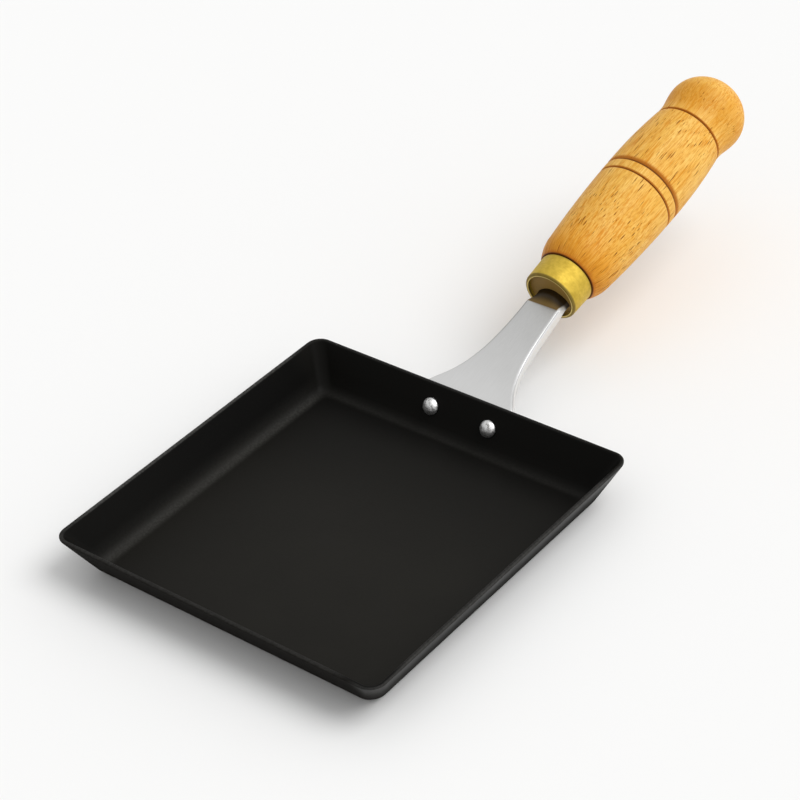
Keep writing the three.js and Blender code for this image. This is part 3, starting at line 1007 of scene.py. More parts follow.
@dataclass(frozen=True)
class TurnedWood:
    """The grip's oiled wood: honey coloured, with dark pores along it and scorched grooves."""

    pale: Colour = (0.88, 0.570, 0.155)
    honey: Colour = (0.76, 0.405, 0.056)
    amber: Colour = (0.67, 0.265, 0.013)
    grained: Colour = (0.56, 0.205, 0.008)
    fleck: Colour = (0.42, 0.130, 0.006)
    pore: Colour = (0.150, 0.040, 0.002)
    scorch: Colour = (0.480, 0.140, 0.008)
    char: Colour = (0.085, 0.022, 0.003)
    bare_end: Colour = (0.300, 0.180, 0.045)
    followed_to: Fade = Fade(3.0, 40.0)
    least_radius: float = 1.0
    fibre_counts: Counts = (2.2, 0.07)
    figure_counts: Counts = (0.26, 0.016)
    honey_shares: Shares = (0.50, 0.70)
    honey_less: float = 0.08
    zone_scale: float = 0.045
    zone_share: float = 0.45
    zone_fibre: float = 0.6
    line_counts: Counts = (1.25, 0.05)
    line_contrast: Fade = Fade(0.55, 0.95, 0.75)
    tone_fibre: float = 0.35
    tone_front: Fade = Fade(1.0, 19.0)
    tone_front_share: float = 0.92
    tone_knob: Fade = Fade(0.0, 3.0, 0.10)
    ring_from: Fade = Fade(1.5, 7.0)
    ring_to: Fade = Fade(10.0, 20.0)
    ring_scale: float = 0.06
    ring_share: float = 0.18
    ring_patch: float = 0.44
    fleck_counts: Counts = (2.8, 0.22)
    fleck_contrast: Fade = Fade(0.45, 0.85)
    fleck_share: float = 0.58
    fleck_front: Fade = Fade(2.0, 26.0)
    fleck_front_share: float = 0.32
    pore_counts: Counts = (1.9, 0.10)
    pore_wave: float = 0.10
    pore_wave_detail: float = 1.0
    pore_patches: float = 0.11
    pore_patchy: float = 0.70
    pore_front: Fade = Fade(6.0, 24.0)
    pore_front_share: float = 0.80
    pore_knob: Fade = Fade(0.0, 3.0, 0.35)
    pore_reach: Span = (0.04, 0.45)
    pore_core: float = 0.70
    pore_halo: Span = (0.9, 1.7)
    pore_share: float = 0.90
    halo_share: float = 0.45
    singed_to: Fade = Fade(0.5, 5.0)
    singed_scale: float = 0.40
    singed_share: float = 0.08
    singed_patch: float = 0.50
    shoulder_flank: Fade = Fade(0.2, 1.6)
    shoulder_bottom: Fade = Fade(0.0, 0.5)
    band_flank: Fade = Fade(0.50, 1.60)
    band_rear_share: float = 0.50
    band_rear: Fade = Fade(0.35, 1.0)
    band_front_reach: float = 0.42
    band_front: Fade = Fade(0.25, 1.0)
    flank_share: float = 0.85
    bottom_share: float = 0.90
    end_face: Fade = Fade(-0.4, -0.2)
    smooth: float = 0.42
    rough: float = 0.54
    porous: float = 0.95
    gloss: float = 0.15
    bump_fibre: float = 0.35
    bump_strength: float = 0.22
    bump_depth: float = mm(0.05)

    def material(self, handle: "Handle") -> Material:
        """Builds the wood's material.

        Args:
            handle: The handle that the wood belongs to.

        Returns:
            The material.
        """
        dress = Dressing("turned_wood", handle.bracket.mouth, handle.bracket.handle_rise)
        behind = dress.y - to_mm(handle.shoulder_at)
        past = behind - to_mm(handle.barrel_length)
        dress.place = self.followed(dress, behind, to_mm(handle.barrel_front))
        fibre = dress.streaks(*self.fibre_counts)
        figure = dress.streaks(*self.figure_counts)
        lines = self.line_contrast.up(dress.streaks(*self.line_counts))
        zone = self.zone_share * dress.patches(self.zone_scale) * fibre.lifted(self.zone_fibre)
        flecks = self.fleck_contrast.up(dress.streaks(*self.fleck_counts))
        fleck_depth = self.fleck_share + self.fleck_front_share * self.fleck_front.down(behind)
        pores, browned = self.pores(dress, behind, past)
        singed = self.singed_share + self.singed_patch * dress.patches(self.singed_scale)
        flank, bottom = self.bands(behind, handle)

        honeyed = (weighed(self.honey_shares, fibre, figure) - self.honey_less).clamped()
        wood = dress.blend(self.pale, self.honey, honeyed)
        wood = dress.blend(wood, self.amber, (zone + lines).clamped())
        wood = dress.blend(wood, self.amber, self.toned(dress, behind, past) * fibre.lifted(self.tone_fibre))
        wood = dress.blend(wood, self.grained, flecks * fleck_depth)
        wood = dress.blend(wood, self.fleck, self.halo_share * browned)
        wood = dress.blend(wood, self.pore, self.pore_share * pores)
        wood = dress.blend(wood, self.scorch, self.singed_to.down(behind) * singed)
        wood = dress.blend(wood, self.scorch, self.flank_share * flank)
        wood = dress.blend(wood, self.char, self.bottom_share * bottom)
        dress.surface(
            base_color=dress.blend(wood, self.bare_end, self.end_face.down(behind)),
            roughness=fibre.between(self.smooth, self.rough).towards(self.porous, browned),
            specular_ior_level=self.gloss,
        )
        dress.bump(self.bump_fibre * fibre - pores, self.bump_strength, self.bump_depth)
        return dress.material

    def followed(self, dress: Dressing, behind: Field, front: float) -> Field:
        """Spreads the pattern's coordinates, so that the grain follows the shoulder's curve to the ferrule.

        Args:
            dress: The wood's material.
            behind: Distance behind the shoulder.
            front: Radius of the barrel's front end, in millimetres.

        Returns:
            The spread coordinates.
        """
        inverse = dress.radius().at_least(self.least_radius) ** -1.0
        spread = 1.0 + (front * inverse - 1.0) * self.followed_to.down(behind)
        return dress.vector(dress.x * spread, dress.y, dress.z * spread)

    def toned(self, dress: Dressing, behind: Field, past: Field) -> Field:
        """Finds where the wood is tinted amber: next to the ferrule, round the knob and in a patchy ring
        behind the barrel's end.

        Args:
            dress: The wood's material.
            behind: Distance behind the shoulder.
            past: Distance behind the barrel's end.

        Returns:
            The mask.
        """
        front = self.tone_front_share * self.tone_front.down(behind)
        ring = self.ring_from.up(past) * self.ring_to.down(past)
        patchy = self.ring_share + self.ring_patch * dress.patches(self.ring_scale)
        return (front + self.tone_knob.up(past) + ring * patchy).clamped()

    def bands(self, behind: Field, handle: "Handle") -> tuple[Field, Field]:
        """Finds the scorched sides and charred bottoms of the grooves and of the shoulder, where they are
        partly a burnt tone and partly painted shade where the wood meets the ferrule.

        Args:
            behind: Distance behind the shoulder.
            handle: The handle that has the grooves.

        Returns:
            The masks of the sides and of the bottoms.
        """
        # At the shoulder, the scorch and dark bottom are partly a burnt tone and partly painted shade where
        # the wood meets the ferrule
        flank, bottom = self.shoulder_flank.down(behind), self.shoulder_bottom.down(behind)
        for band in handle.bands:
            off = behind - to_mm(band.at)
            away = (off / to_mm(band.rear)).at_least(-off / to_mm(band.front))
            flank = flank.at_least(self.band_flank.down(away))
            rear = self.band_rear.up(off / (self.band_rear_share * to_mm(band.rear)))
            front = self.band_front.up(-off / self.band_front_reach)
            bottom = bottom.at_least(1.0 - rear.at_least(front))
        return flank, bottom

    def pores(self, dress: Dressing, behind: Field, past: Field) -> tuple[Field, Field]:
        """Scatters short dark vessels along the grain.

        Args:
            dress: The wood's material.
            behind: Distance behind the shoulder.
            past: Distance behind the barrel's end.

        Returns:
            The masks of the vessels and of the browned wood round them.
        """
        across, along = self.pore_counts
        x, y, z = dress.split(dress.place)
        wavy = dress.noise(dress.place, self.pore_wave, self.pore_wave_detail)
        drawn = dress.vector(x * across + wavy, y * along, z * across + wavy)
        cells = dress.node("ShaderNodeTexVoronoi", {"Vector": drawn, "Scale": 1.0, "Randomness": 1.0})
        distance = Field(dress.tree, cells.outputs["Distance"])
        chance = dress.split(Field(dress.tree, cells.outputs["Color"]))[0]
        more = self.pore_front_share * self.pore_front.down(behind)
        patchy = dress.patches(self.pore_patches).lifted(self.pore_patchy)
        share = chance * chance.towards(1.0, more) * patchy
        reach = share.between(*self.pore_reach) * self.pore_knob.down(past)
        core = distance.soft(reach * self.pore_core, reach)
        halo = distance.soft(*(reach * size for size in self.pore_halo))
        return 1.0 - core, 1.0 - halo


# Pieces


@dataclass
class Pan:
    """The pressed pan: a flat floor, four leaning walls and a plain rounded rim."""

    side: float = mm(150)
    height: float = mm(18)
    lean: float = math.radians(28.5)
    sheet: float = mm(1.6)
    rim_corner: float = mm(6.5)
    base_corner: float = mm(6)
    least_corner: float = mm(0.8)
    fillet: float = mm(5)
    rim_edge: float = mm(0.6)
    corner_steps: int = 16
    fillet_steps: int = 12
    rim_steps: int = 8
    guard: float = mm(0.35)
    inner_loop: float = 0.5
    crisp: float = math.radians(35)

    @property
    def rim_height(self) -> float:
        """Height of the rim's rounding centre."""
        return self.height - self.rim_edge

    @property
    def foot(self) -> Vector:
        """Where the back wall's outer face would meet the level of the underside, as Y and Z."""
        rim_half = self.side / 2 - self.rim_edge + self.rim_edge / math.cos(self.lean)
        return Vector((rim_half - self.rim_height * math.tan(self.lean), 0.0))

    @property
    def wall_up(self) -> Vector:
        """The way up the back wall, as Y and Z."""
        return Vector((math.sin(self.lean), math.cos(self.lean)))

    @property
    def wall_out(self) -> Vector:
        """The way out of the back wall's outer face, as Y and Z."""
        return Vector((math.cos(self.lean), -math.sin(self.lean)))

    def outer_half(self, height: float) -> float:
        """Half the pan's outer width at a height."""
        return self.foot.x + height * math.tan(self.lean)

    def section(self) -> list[Vector]:
        """Draws the sheet's section from the underside over the rim to the floor.

        Returns:
            Its points, as half width and height.
        """
        slope = 1 / math.cos(self.lean)
        level = self.sheet + self.fillet
        inner_half = self.outer_half(0.0) - self.sheet * slope
        centre = Vector((inner_half + level * math.tan(self.lean) - self.fillet * slope, level))
        outer_rim = Vector((self.outer_half(self.rim_height) - self.rim_edge * slope, self.rim_height))
        inner_rim = Vector((outer_rim.x - (self.sheet - 2 * self.rim_edge) * slope, self.rim_height))
        below = arc_points(centre, self.fillet + self.sheet, -QUARTER, -self.lean, self.fillet_steps)
        rim_out = arc_points(outer_rim, self.rim_edge, -self.lean, QUARTER, self.rim_steps)
        rim_in = arc_points(inner_rim, self.rim_edge, QUARTER, math.pi - self.lean, self.rim_steps)
        above = arc_points(centre, self.fillet, -self.lean, -QUARTER, self.fillet_steps)
        step = self.guard * self.wall_up
        inset = Vector((self.guard, 0.0))
        under, top = (Vector((end.x * self.inner_loop, end.y)) for end in (below[0], above[-1]))
        return [
            under, below[0] - inset, *below, below[-1] + step,
            rim_out[0] - step, *rim_out, *rim_in, rim_in[-1] - step,
            above[0] + step, *above, above[-1] - inset, top,
        ]

    def ring(self, point: Vector) -> list[Vector]:
        """Draws one closed loop of the skin: a square with round corners.

        Args:
            point: The loop's half width and height.

        Returns:
            The loop's points, anticlockwise seen from above.
        """
        half, height = point
        outer = lerp(self.base_corner, self.rim_corner, height / self.height)
        radius = max(outer - (self.outer_half(height) - half), self.least_corner)
        straight = half - radius
        corner = [
            Vector((half, straight - self.guard)),
            *arc_points(Vector((straight, straight)), radius, 0.0, QUARTER, self.corner_steps),
            Vector((straight - self.guard, half)),
        ]
        turns = [Matrix.Rotation(quarter * QUARTER, 2) for quarter in range(4)]
        return [Vector((*(turn @ spot), height)) for turn in turns for spot in corner]

    def build(self, finish: Material, holes: Iterable[Object]) -> Object:
        """Builds the pan.

        Args:
            finish: Its material.
            holes: Solids to cut out of its back wall.

        Returns:
            The finished piece.
        """
        shape = bmesh.new()
        rings = skin(shape, map(self.ring, self.section()))
        for loop in (rings[0], rings[-1]):
            middle = shape.verts.new((0.0, 0.0, loop[0].co.z))
            for i, vert in enumerate(loop):
                shape.faces.new((middle, vert, loop[(i + 1) % len(loop)]))
        piece = from_bmesh("pan_shell", shape, finish)
        carve(piece, holes)
        soften(piece, self.crisp)
        return piece


@dataclass
class Bracket:
    """The pressed strap: a riveting plate, a bend, a flared neck with turned-down edges and a tang."""

    pan: Pan
    handle_rise: float = math.radians(12.9)
    sheet: float = mm(1)
    plate_width: float = mm(41.8)
    plate_foot: float = mm(2.6)
    plate_corner: float = mm(6)
    bend_radius: float = mm(5)
    drop_below_rim: float = mm(1.9)
    length: float = mm(49.3)
    rise_at_pan: float = math.radians(11.5)
    rise_at_ferrule: float = math.radians(18.6)
    neck_width: float = mm(15.8)
    flare_length: float = mm(14.6)
    flare_ease: float = mm(1.2)
    edge_inner: float = mm(0.35)
    lip: float = mm(3)
    lip_at_ends: float = mm(0.4)
    lip_full_share: float = 0.85
    lip_run_out: float = mm(6)
    crease_radius: float = mm(5)
    tang_lead: float = mm(5.2)
    tang_depth: float = mm(42)
    tang_crown: float = mm(2.1)
    tang_reach: float = mm(8.4)
    tip_gap: float = mm(1)
    gap: float = mm(0.3)
    corner_steps: int = 12
    plate_steps: int = 4
    bend_steps: int = 16
    neck_steps: int = 56
    crease_steps: int = 6
    curl_steps: int = 16
    tang_steps: int = 2
    edge_steps: int = 8
    crown_steps: int = 14
    guard: float = mm(0.25)
    eased_edge: float = mm(0.22)
    eased_from: float = math.radians(60)
    eased_steps: int = 2
    crisp: float = math.radians(40)

    def __post_init__(self) -> None:
        """Lays out the strap's path, seen from the side."""
        drop = self.tang_crown + self.edge_inner + self.sheet + self.lip_at_ends
        self.tang_half = math.sqrt(self.tang_reach**2 - drop**2)
        self.heading = QUARTER - self.pan.lean
        bend = self.heading - self.rise_at_pan
        curl = self.rise_at_ferrule - self.handle_rise
        slope = math.cos(self.pan.lean)
        plate = (self.pan.height - self.drop_below_rim - self.plate_foot) / slope
        self.plate_length = plate - self.bend_radius * math.tan(bend / 2)
        self.neck_from = self.plate_length + self.bend_radius * bend
        self.crease_from = self.neck_from + self.length
        self.tang_from = self.crease_from + self.crease_radius * curl
        self.face_at = self.tang_from + self.tang_lead
        line = self.pan.foot + self.gap * self.pan.wall_out
        self.start = line + self.pan.wall_up * ((self.plate_foot - line.y) / slope)
        self.runs: list[Run] = [
            (self.plate_length, 0.0),
            (self.neck_from - self.plate_length, -bend),
            (self.length, self.rise_at_ferrule - self.rise_at_pan),
            (self.tang_from - self.crease_from, -curl),
            (self.tang_lead + self.tang_depth, 0.0),
        ]

    def path(self, distance: float) -> tuple[Vector, float]:
        """Follows the strap's upper face.

        Args:
            distance: Distance from the plate's foot.

        Returns:
            The point there, as Y and Z, and the slope in radians.
        """
        spot, angle, left = self.start.copy(), self.heading, distance
        for length, turn in self.runs:
            step = min(left, length)
            swing = turn * step / length
            chord = step if abs(swing) < LEAST_TURN else 2 * step / swing * math.sin(swing / 2)
            spot += chord * Vector((math.cos(angle + swing / 2), math.sin(angle + swing / 2)))
            angle += swing
            left -= step
        return spot, angle

    @property
    def mouth(self) -> Vector:
        """The middle of the ferrule's mouth."""
        return Vector((0.0, *self.path(self.face_at)[0]))

    def half_width(self, distance: float) -> float:
        """Finds the strap's half width, which flares to the plate and narrows to the tang.

        Args:
            distance: Distance from the plate's foot.

        Returns:
            The half width there.
        """
        neck = self.neck_width / 2
        foot = max(self.plate_corner - distance, 0.0)
        inset = self.plate_corner - math.sqrt(self.plate_corner**2 - foot**2)
        past = self.flare_ease * math.log1p(math.exp((distance - self.neck_from) / self.flare_ease))
        rest = math.exp((self.neck_from - self.tang_from) / self.flare_length)
        flare = max(math.exp(-past / self.flare_length) - rest, 0.0) / (1 - rest)
        curled = smoothstep(distance, self.tang_from, self.face_at)
        return neck + (self.plate_width / 2 - neck) * flare - inset - (neck - self.tang_half) * curled

    def lip_depth(self, distance: float) -> float:
        """Finds how far the turned-down edges hang below their bend.

        Args:
            distance: Distance from the plate's foot.

        Returns:
            The depth there.
        """
        end = self.face_at - self.gap
        grown = smoothstep(distance, 0.0, self.neck_from + self.lip_full_share * self.length)
        kept = 1 - smoothstep(distance, end - self.lip_run_out, end)
        return lerp(self.lip_at_ends, self.lip, min(grown, kept))

    def section(self, half: float, lip: float, crown: float, gap: float = 0.0) -> Outlines:
        """Draws the channel's section.

        Args:
            half: Half width.
            lip: Depth of the edges below their bend.
            crown: Height of the arch across it.
            gap: Clearance added all round.

        Returns:
            Matching outer and inner outlines, from left to right.
        """
        bend = self.edge_inner + self.sheet
        corner = Vector((half - bend, -bend))
        guard = min(self.guard, lip / 2)

        def outline(radius: float) -> list[Vector]:
            """Draws one outline.

            Args:
                radius: Radius of its two bends.

            Returns:
                Its points.
            """
            turn = arc_points(corner, radius, 0.0, QUARTER, self.edge_steps)
            right = [turn[0] - Vector((0.0, lip + gap)), turn[0] - Vector((0.0, guard)), *turn]
            flat = corner.x - self.guard
            top = [lerp(-flat, flat, i / self.crown_steps) for i in range(self.crown_steps + 1)]
            level = [Vector((x, turn[-1].y)) for x in top]
            points = [Vector((-p.x, p.y)) for p in right] + level + right[::-1]
            return [Vector((p.x, p.y + crown * (1 - 2 * (p.x / half) ** 2))) for p in points]

        return outline(bend + gap), outline(self.edge_inner - gap)

    def sweep(self, stations: Sequence[tuple[Outlines, Vector, float]]) -> BMesh:
        """Joins sections into one sheet-metal solid.

        Args:
            stations: The section, the place as Y and Z, and the slope at each station.

        Returns:
            The closed solid.
        """
        shape = bmesh.new()
        turned = shape.verts.layers.float.new(TURNED_EDGE)
        loops = []
        for (outer, inner), spot, slope in stations:
            up = Vector((-math.sin(slope), math.cos(slope)))
            loops.append([Vector((p.x, *(spot + p.y * up))) for p in (*outer, *reversed(inner))])
        rows = skin(shape, loops)
        for row, ((outer, _), _, _) in zip(rows, stations):
            top = outer[len(outer) // 2].y
            for vert, p in zip(row, outer):
                vert[turned] = smoothstep(top - p.y, 0.0, self.edge_inner + self.sheet)
        for row in (rows[0], rows[-1]):
            back = row[::-1]
            for i in range(len(row) // 2 - 1):
                shape.faces.new((row[i], row[i + 1], back[i + 1], back[i]))
        bmesh.ops.recalc_face_normals(shape, faces=shape.faces)
        return shape

    def distances(self) -> list[float]:
        """Places the sections along the strap, close together where it turns.

        Returns:
            Their distances from the plate's foot.
        """
        angles = (QUARTER * i / self.corner_steps for i in range(self.corner_steps))
        placed = [self.plate_corner * (1 - math.cos(angle)) for angle in angles]
        end = self.face_at + self.tang_depth
        ends = (self.plate_corner, self.plate_length, self.neck_from, self.crease_from, self.tang_from,
                self.face_at, end)
        counts = (self.plate_steps, self.bend_steps, self.neck_steps, self.crease_steps, self.curl_steps,
                  self.tang_steps)
        for low, high, steps in zip(ends, ends[1:], counts):
            placed.extend(lerp(low, high, i / steps) for i in range(steps))
        return [*placed, end]

    def build(self, finish: Material, holes: Iterable[Object]) -> Object:
        """Builds the strap.

        Args:
            finish: Its material.
            holes: Solids to cut out of its plate.

        Returns:
            The finished piece.
        """
        stations = []
        for distance in self.distances():
            crown = self.tang_crown * smoothstep(distance, self.tang_from, self.face_at)
            section = self.section(self.half_width(distance), self.lip_depth(distance), crown)
            stations.append((section, *self.path(distance)))
        shape = self.sweep(stations)
        sharp = [edge for edge in shape.edges if edge.calc_face_angle(0.0) > self.eased_from]
        bmesh.ops.bevel(shape, geom=sharp, offset=self.eased_edge, segments=self.eased_steps,
                        profile=ROUND_BEVEL, affect="EDGES", clamp_overlap=True)
        piece = from_bmesh("strap_bracket", shape, finish)
        carve(piece, holes)
        soften(piece, self.crisp)
        return piece

    def slot_cutter(self) -> Object:
        """Makes the solid that cuts the tang's slot in the grip, with clearance all round.

        Returns:
            The cutter.
        """
        section = self.section(self.tang_half, self.lip_at_ends, self.tang_crown, self.gap)
        ends = (self.face_at - self.tang_lead, self.face_at + self.tang_depth)
        spots = [self.path(distance)[0] for distance in ends]
        spots[1] += self.tip_gap * Vector((math.cos(self.handle_rise), math.sin(self.handle_rise)))
        return from_bmesh("tang_slot", self.sweep([(section, spot, self.handle_rise) for spot in spots]))


@dataclass
class RivetPair:
    """The two round-headed rivets that hold the strap's plate to the back wall."""

    pan: Pan
    bracket: Bracket
    from_edge: float = mm(7.2)
    below_rim: float = mm(9.8)
    shank_radius: float = mm(2)
    head_radius: float = mm(3.4)
    head_height: float = mm(2.5)
    head_edge: float = mm(0.5)
    tail_radius: float = mm(3.2)
    tail_height: float = mm(1.5)
    gap: float = mm(0.3)
    dent: float = mm(0.28)
    dent_count: float = 620.0
    dent_detail: float = 1.0
    seed: float = 4.0
    sides: int = 64
    head_points: int = 20
    tail_points: int = 14
    hole_sides: int = 40
    hole_stacks: float = 4.0
    crisp: float = math.radians(50)

    @property
    def spacing(self) -> float:
        """Distance between the two rivets."""
        return self.bracket.plate_width - 2 * self.from_edge

    @property
    def stack(self) -> float:
        """Thickness that the shank passes through."""
        return self.pan.sheet + self.bracket.gap + self.bracket.sheet

    @property
    def seat(self) -> Vector:
        """Where a rivet's axis meets the wall's inner face, as Y and Z."""
        climb = self.pan.height / math.cos(self.pan.lean) - self.below_rim
        return self.pan.foot + climb * self.pan.wall_up - self.pan.sheet * self.pan.wall_out

    def holes(self) -> list[Object]:
        """Makes the solids that cut a clearance hole for each shank.

        Returns:
            The cutters, left and right.
        """
        radius = self.shank_radius + self.gap
        turn = Matrix.Rotation(QUARTER - self.pan.lean, 4, "X")
        made = []
        for side in Side:
            shape = bmesh.new()
            place = Matrix.Translation((side.value * self.spacing / 2, *self.seat))
            bmesh.ops.create_cone(
                shape, cap_ends=True, segments=self.hole_sides, radius1=radius, radius2=radius,
                depth=self.hole_stacks * self.stack, matrix=place @ turn)
            made.append(from_bmesh(f"rivet_hole_{side.name.lower()}", shape))
        return made

    def build(self, finish: Material) -> Object:
        """Builds both rivets as one piece: turns one, sets the row on the wall and dents the heads.

        Args:
            finish: Their material.

        Returns:
            The finished piece.
        """
        rule = TurnedRule("rivet_row", finish, self.sides)
        head, high, edge = rule.sizes(
            head_radius=self.head_radius, head_height=self.head_height, head_edge=self.head_edge)
        tail, deep = rule.sizes(tail_radius=self.tail_radius, tail_height=self.tail_height)
        shank, stack, gap = rule.sizes(shank_radius=self.shank_radius, stack=self.stack, gap=self.gap)
        spacing, lean = rule.sizes(spacing=self.spacing, lean=self.pan.lean)
        seat = rule.sizes(seat_y=self.seat.x, seat_z=self.seat.y)
        dent, seed = rule.sizes(dent=self.dent, seed=self.seed)

        dome = high - edge
        under = -(stack + gap)
        head_arc, tail_arc = ((wide * wide + tall * tall) / (2.0 * tall)
                              for wide, tall in ((head, dome), (tail, deep)))
        head_sweep = (head / head_arc).math("ARCSINE")
        tail_sweep = (tail / tail_arc).math("ARCSINE")
        rule.arc((0.0, under - deep + tail_arc), tail_arc, -QUARTER, tail_sweep, self.tail_points)
        rule.line((tail, under), (shank, under))
        rule.line((shank, under), (shank, gap))
        rule.line((shank, gap), (head, gap))
        rule.line((head, gap), (head, gap + edge))
        rule.arc((0.0, gap + high - head_arc), head_arc, QUARTER - head_sweep, head_sweep, self.head_points)

        row = rule.field("GeometryNodeMeshLine", {
            "Count": len(Side), "Start Location": rule.vector(-0.5 * spacing, *seat),
            "Offset": rule.vector(spacing, 0.0, 0.0)}, mode="OFFSET")
        set_row = rule.field("GeometryNodeInstanceOnPoints", {
            "Points": row, "Instance": rule.turned(), "Rotation": rule.vector(QUARTER - lean, 0.0, 0.0)})
        real = rule.field("GeometryNodeRealizeInstances", {"Geometry": set_row})
        noise = rule.field("ShaderNodeTexNoise", {
            "Vector": rule.field("GeometryNodeInputPosition"), "W": seed, "Scale": self.dent_count,
            "Detail": self.dent_detail}, noise_dimensions="4D")
        push = rule.field("ShaderNodeVectorMath", {
            0: rule.field("GeometryNodeInputNormal"), "Scale": (noise - NOISE_MIDDLE) * dent},
            operation="SCALE")
        dented = rule.field("GeometryNodeSetPosition", {"Geometry": real, "Offset": push})
        piece = rule.grow("rivet_pair", dented)
        soften(piece, self.crisp)
        return piece


@dataclass(frozen=True)
class Band:
    """One scorched groove round the grip, measured behind the shoulder."""

    name: str
    at: float
    front: float
    rear: float
    depth: float

    def sizes(self) -> dict[str, float]:
        """The groove's place, its reach to the front and to the rear, and its depth, by name."""
        named = {"at": self.at, "front": self.front, "rear": self.rear, "depth": self.depth}
        return {f"{self.name}_{size}": value for size, value in named.items()}


@dataclass
class Handle:
    """The brass ferrule and the turned grip behind it, on one tilted axis."""

    bracket: Bracket
    ferrule_length: float = mm(11.8)
    mouth_radius: float = mm(11.6)
    flare: float = mm(0.3)
    wall: float = mm(1.5)
    lip_radius: float = mm(1)
    inner_ease: float = mm(0.25)
    tenon_recess: float = mm(1.8)
    shoulder_step: float = mm(0.4)
    shoulder_length: float = mm(8.5)
    barrel_front: float = mm(14.4)
    barrel_belly: float = mm(17.5)
    belly_at: float = mm(58)
    barrel_rear: float = mm(15.6)
    barrel_length: float = mm(88.3)
    cove_radius: float = mm(15.45)
    cove_behind: float = mm(3.1)
    cove_length: float = mm(11.5)
    knob_radius: float = mm(16.9)
    dome_length: float = mm(15)
    bands: tuple[Band, ...] = (
        Band("front_band", mm(47.9), mm(0.7), mm(0.6), mm(0.8)),
        Band("rear_band", mm(53.1), mm(0.6), mm(1.7), mm(1)),
        Band("end_band", mm(88.3), mm(0.8), mm(0.7), mm(0.9)),
    )
    gap: float = mm(0.3)
    press: float = mm(0.05)
    sides: int = 112
    ease_points: int = 6
    lip_points: int = 12
    rings: int = 420
    dome_rings: int = 40
    ferrule_crisp: float = math.radians(40)
    grip_crisp: float = math.radians(42)

    @property
    def shoulder_at(self) -> float:
        """Place of the grip's shoulder along the handle."""
        return self.ferrule_length + self.gap

    @property
    def rear_radius(self) -> float:
        """Outer radius of the ferrule's rear end."""
        return self.mouth_radius + self.flare

    @property
    def bore_radius(self) -> float:
        """Radius of the ferrule's bore."""
        return self.mouth_radius - self.wall

    def seated(self, rule: TurnedRule) -> Field:
        """What a rule turns, moved onto the handle's axis behind the ferrule's mouth."""
        turn = (self.bracket.handle_rise - QUARTER, 0.0, 0.0)
        return rule.moved(rule.turned(), tuple(self.bracket.mouth), turn)

    def build_ferrule(self, finish: Material) -> Object:
        """Builds the ferrule.

        Args:
            finish: Its material.

        Returns:
            The finished piece.
        """
        rule = TurnedRule("turned_ferrule", finish, self.sides)
        mouth, rear, bore = rule.sizes(
            mouth_radius=self.mouth_radius, rear_radius=self.rear_radius, bore_radius=self.bore_radius)
        length, lip, ease = rule.sizes(
            length=self.ferrule_length, lip_radius=self.lip_radius, inner_ease=self.inner_ease)

        rule.line((bore, length), (bore, ease))
        rule.arc((bore + ease, ease), ease, math.pi, QUARTER, self.ease_points)
        rule.line((bore + ease, 0.0), (mouth - lip, 0.0))
        rule.arc((mouth - lip, lip), lip, -QUARTER, QUARTER, self.lip_points)
        rule.line((mouth, lip), (rear, length - ease))
        rule.arc((rear - ease, length - ease), ease, 0.0, QUARTER, self.ease_points)
        rule.line((rear - ease, length), (bore, length))
        piece = rule.grow("brass_ferrule", self.seated(rule))
        soften(piece, self.ferrule_crisp)
        return piece

    def build_grip(self, finish: Material) -> Object:
        """Builds the grip, with its tenon, shoulder, bellied barrel, bands, cove, knob and the tang's slot.

        Args:
            finish: Its material.

        Returns:
            The finished piece.
        """
        rule = TurnedRule("turned_grip", finish, self.sides)
        tenon, recess = rule.sizes(tenon_radius=self.bore_radius - self.press, recess=self.tenon_recess)
        shoulder, drop_length, drop = rule.sizes(
            shoulder_at=self.shoulder_at, shoulder_length=self.shoulder_length,
            shoulder_drop=self.barrel_front - self.rear_radius - self.shoulder_step)
        front, rear, length = rule.sizes(
            front_radius=self.barrel_front, rear_radius=self.barrel_rear, barrel_length=self.barrel_length)
        belly, belly_at = rule.sizes(belly_radius=self.barrel_belly, belly_at=self.belly_at)
        cove, behind, cove_length = rule.sizes(
            cove_radius=self.cove_radius, cove_behind=self.cove_behind, cove_length=self.cove_length)
        knob, dome = rule.sizes(knob_radius=self.knob_radius, dome_length=self.dome_length)
        cuts = [rule.sizes(**band.sizes()) for band in self.bands]

        def radius(at: Field) -> Field:
            """Finds the grip's radius, from the shoulder to the knob's widest place.

            Args:
                at: Distance behind the shoulder.

            Returns:
                The radius there.
            """
            rearward = at.above(belly_at)
            reach = belly_at.towards(length - belly_at, rearward)
            fall = (belly - front.towards(rear, rearward)) * ((at - belly_at) / reach) ** 2.0
            eased = (1.0 - at / drop_length).at_least(0.0)
            barrel = belly - fall - drop * eased * eased
            swell = ((at - length - behind) / cove_length).clamped()
            hollow = cove.towards(knob, 0.5 - 0.5 * (swell * math.pi).math("COSINE"))
            shape = barrel.towards(hollow, at.above(length))
            for place, before, after, depth in cuts:
                off = at - place
                reach = before.towards(after, off.above(0.0))
                shape = shape - depth * (1.0 - (abs(off) / reach).soft(0.0, 1.0))
            return shape

        def domed(at: Field) -> Field:
            """The knob's radius at a distance behind its widest place."""
            return knob * (1.0 - (at / dome) ** 2.0).at_least(0.0).root()

        body = length + behind + cove_length
        rule.line((0.0, recess), (tenon, recess))
        rule.line((tenon, recess), (tenon, shoulder))
        rule.line((tenon, shoulder), (front - drop, shoulder))
        rule.run(body, self.rings, radius, shoulder)
        rule.run(dome, self.dome_rings, domed, shoulder + body)
        piece = rule.grow("turned_grip", self.seated(rule))
        carve(piece, [self.bracket.slot_cutter()])
        soften(piece, self.grip_crisp)
        return piece


# Studio


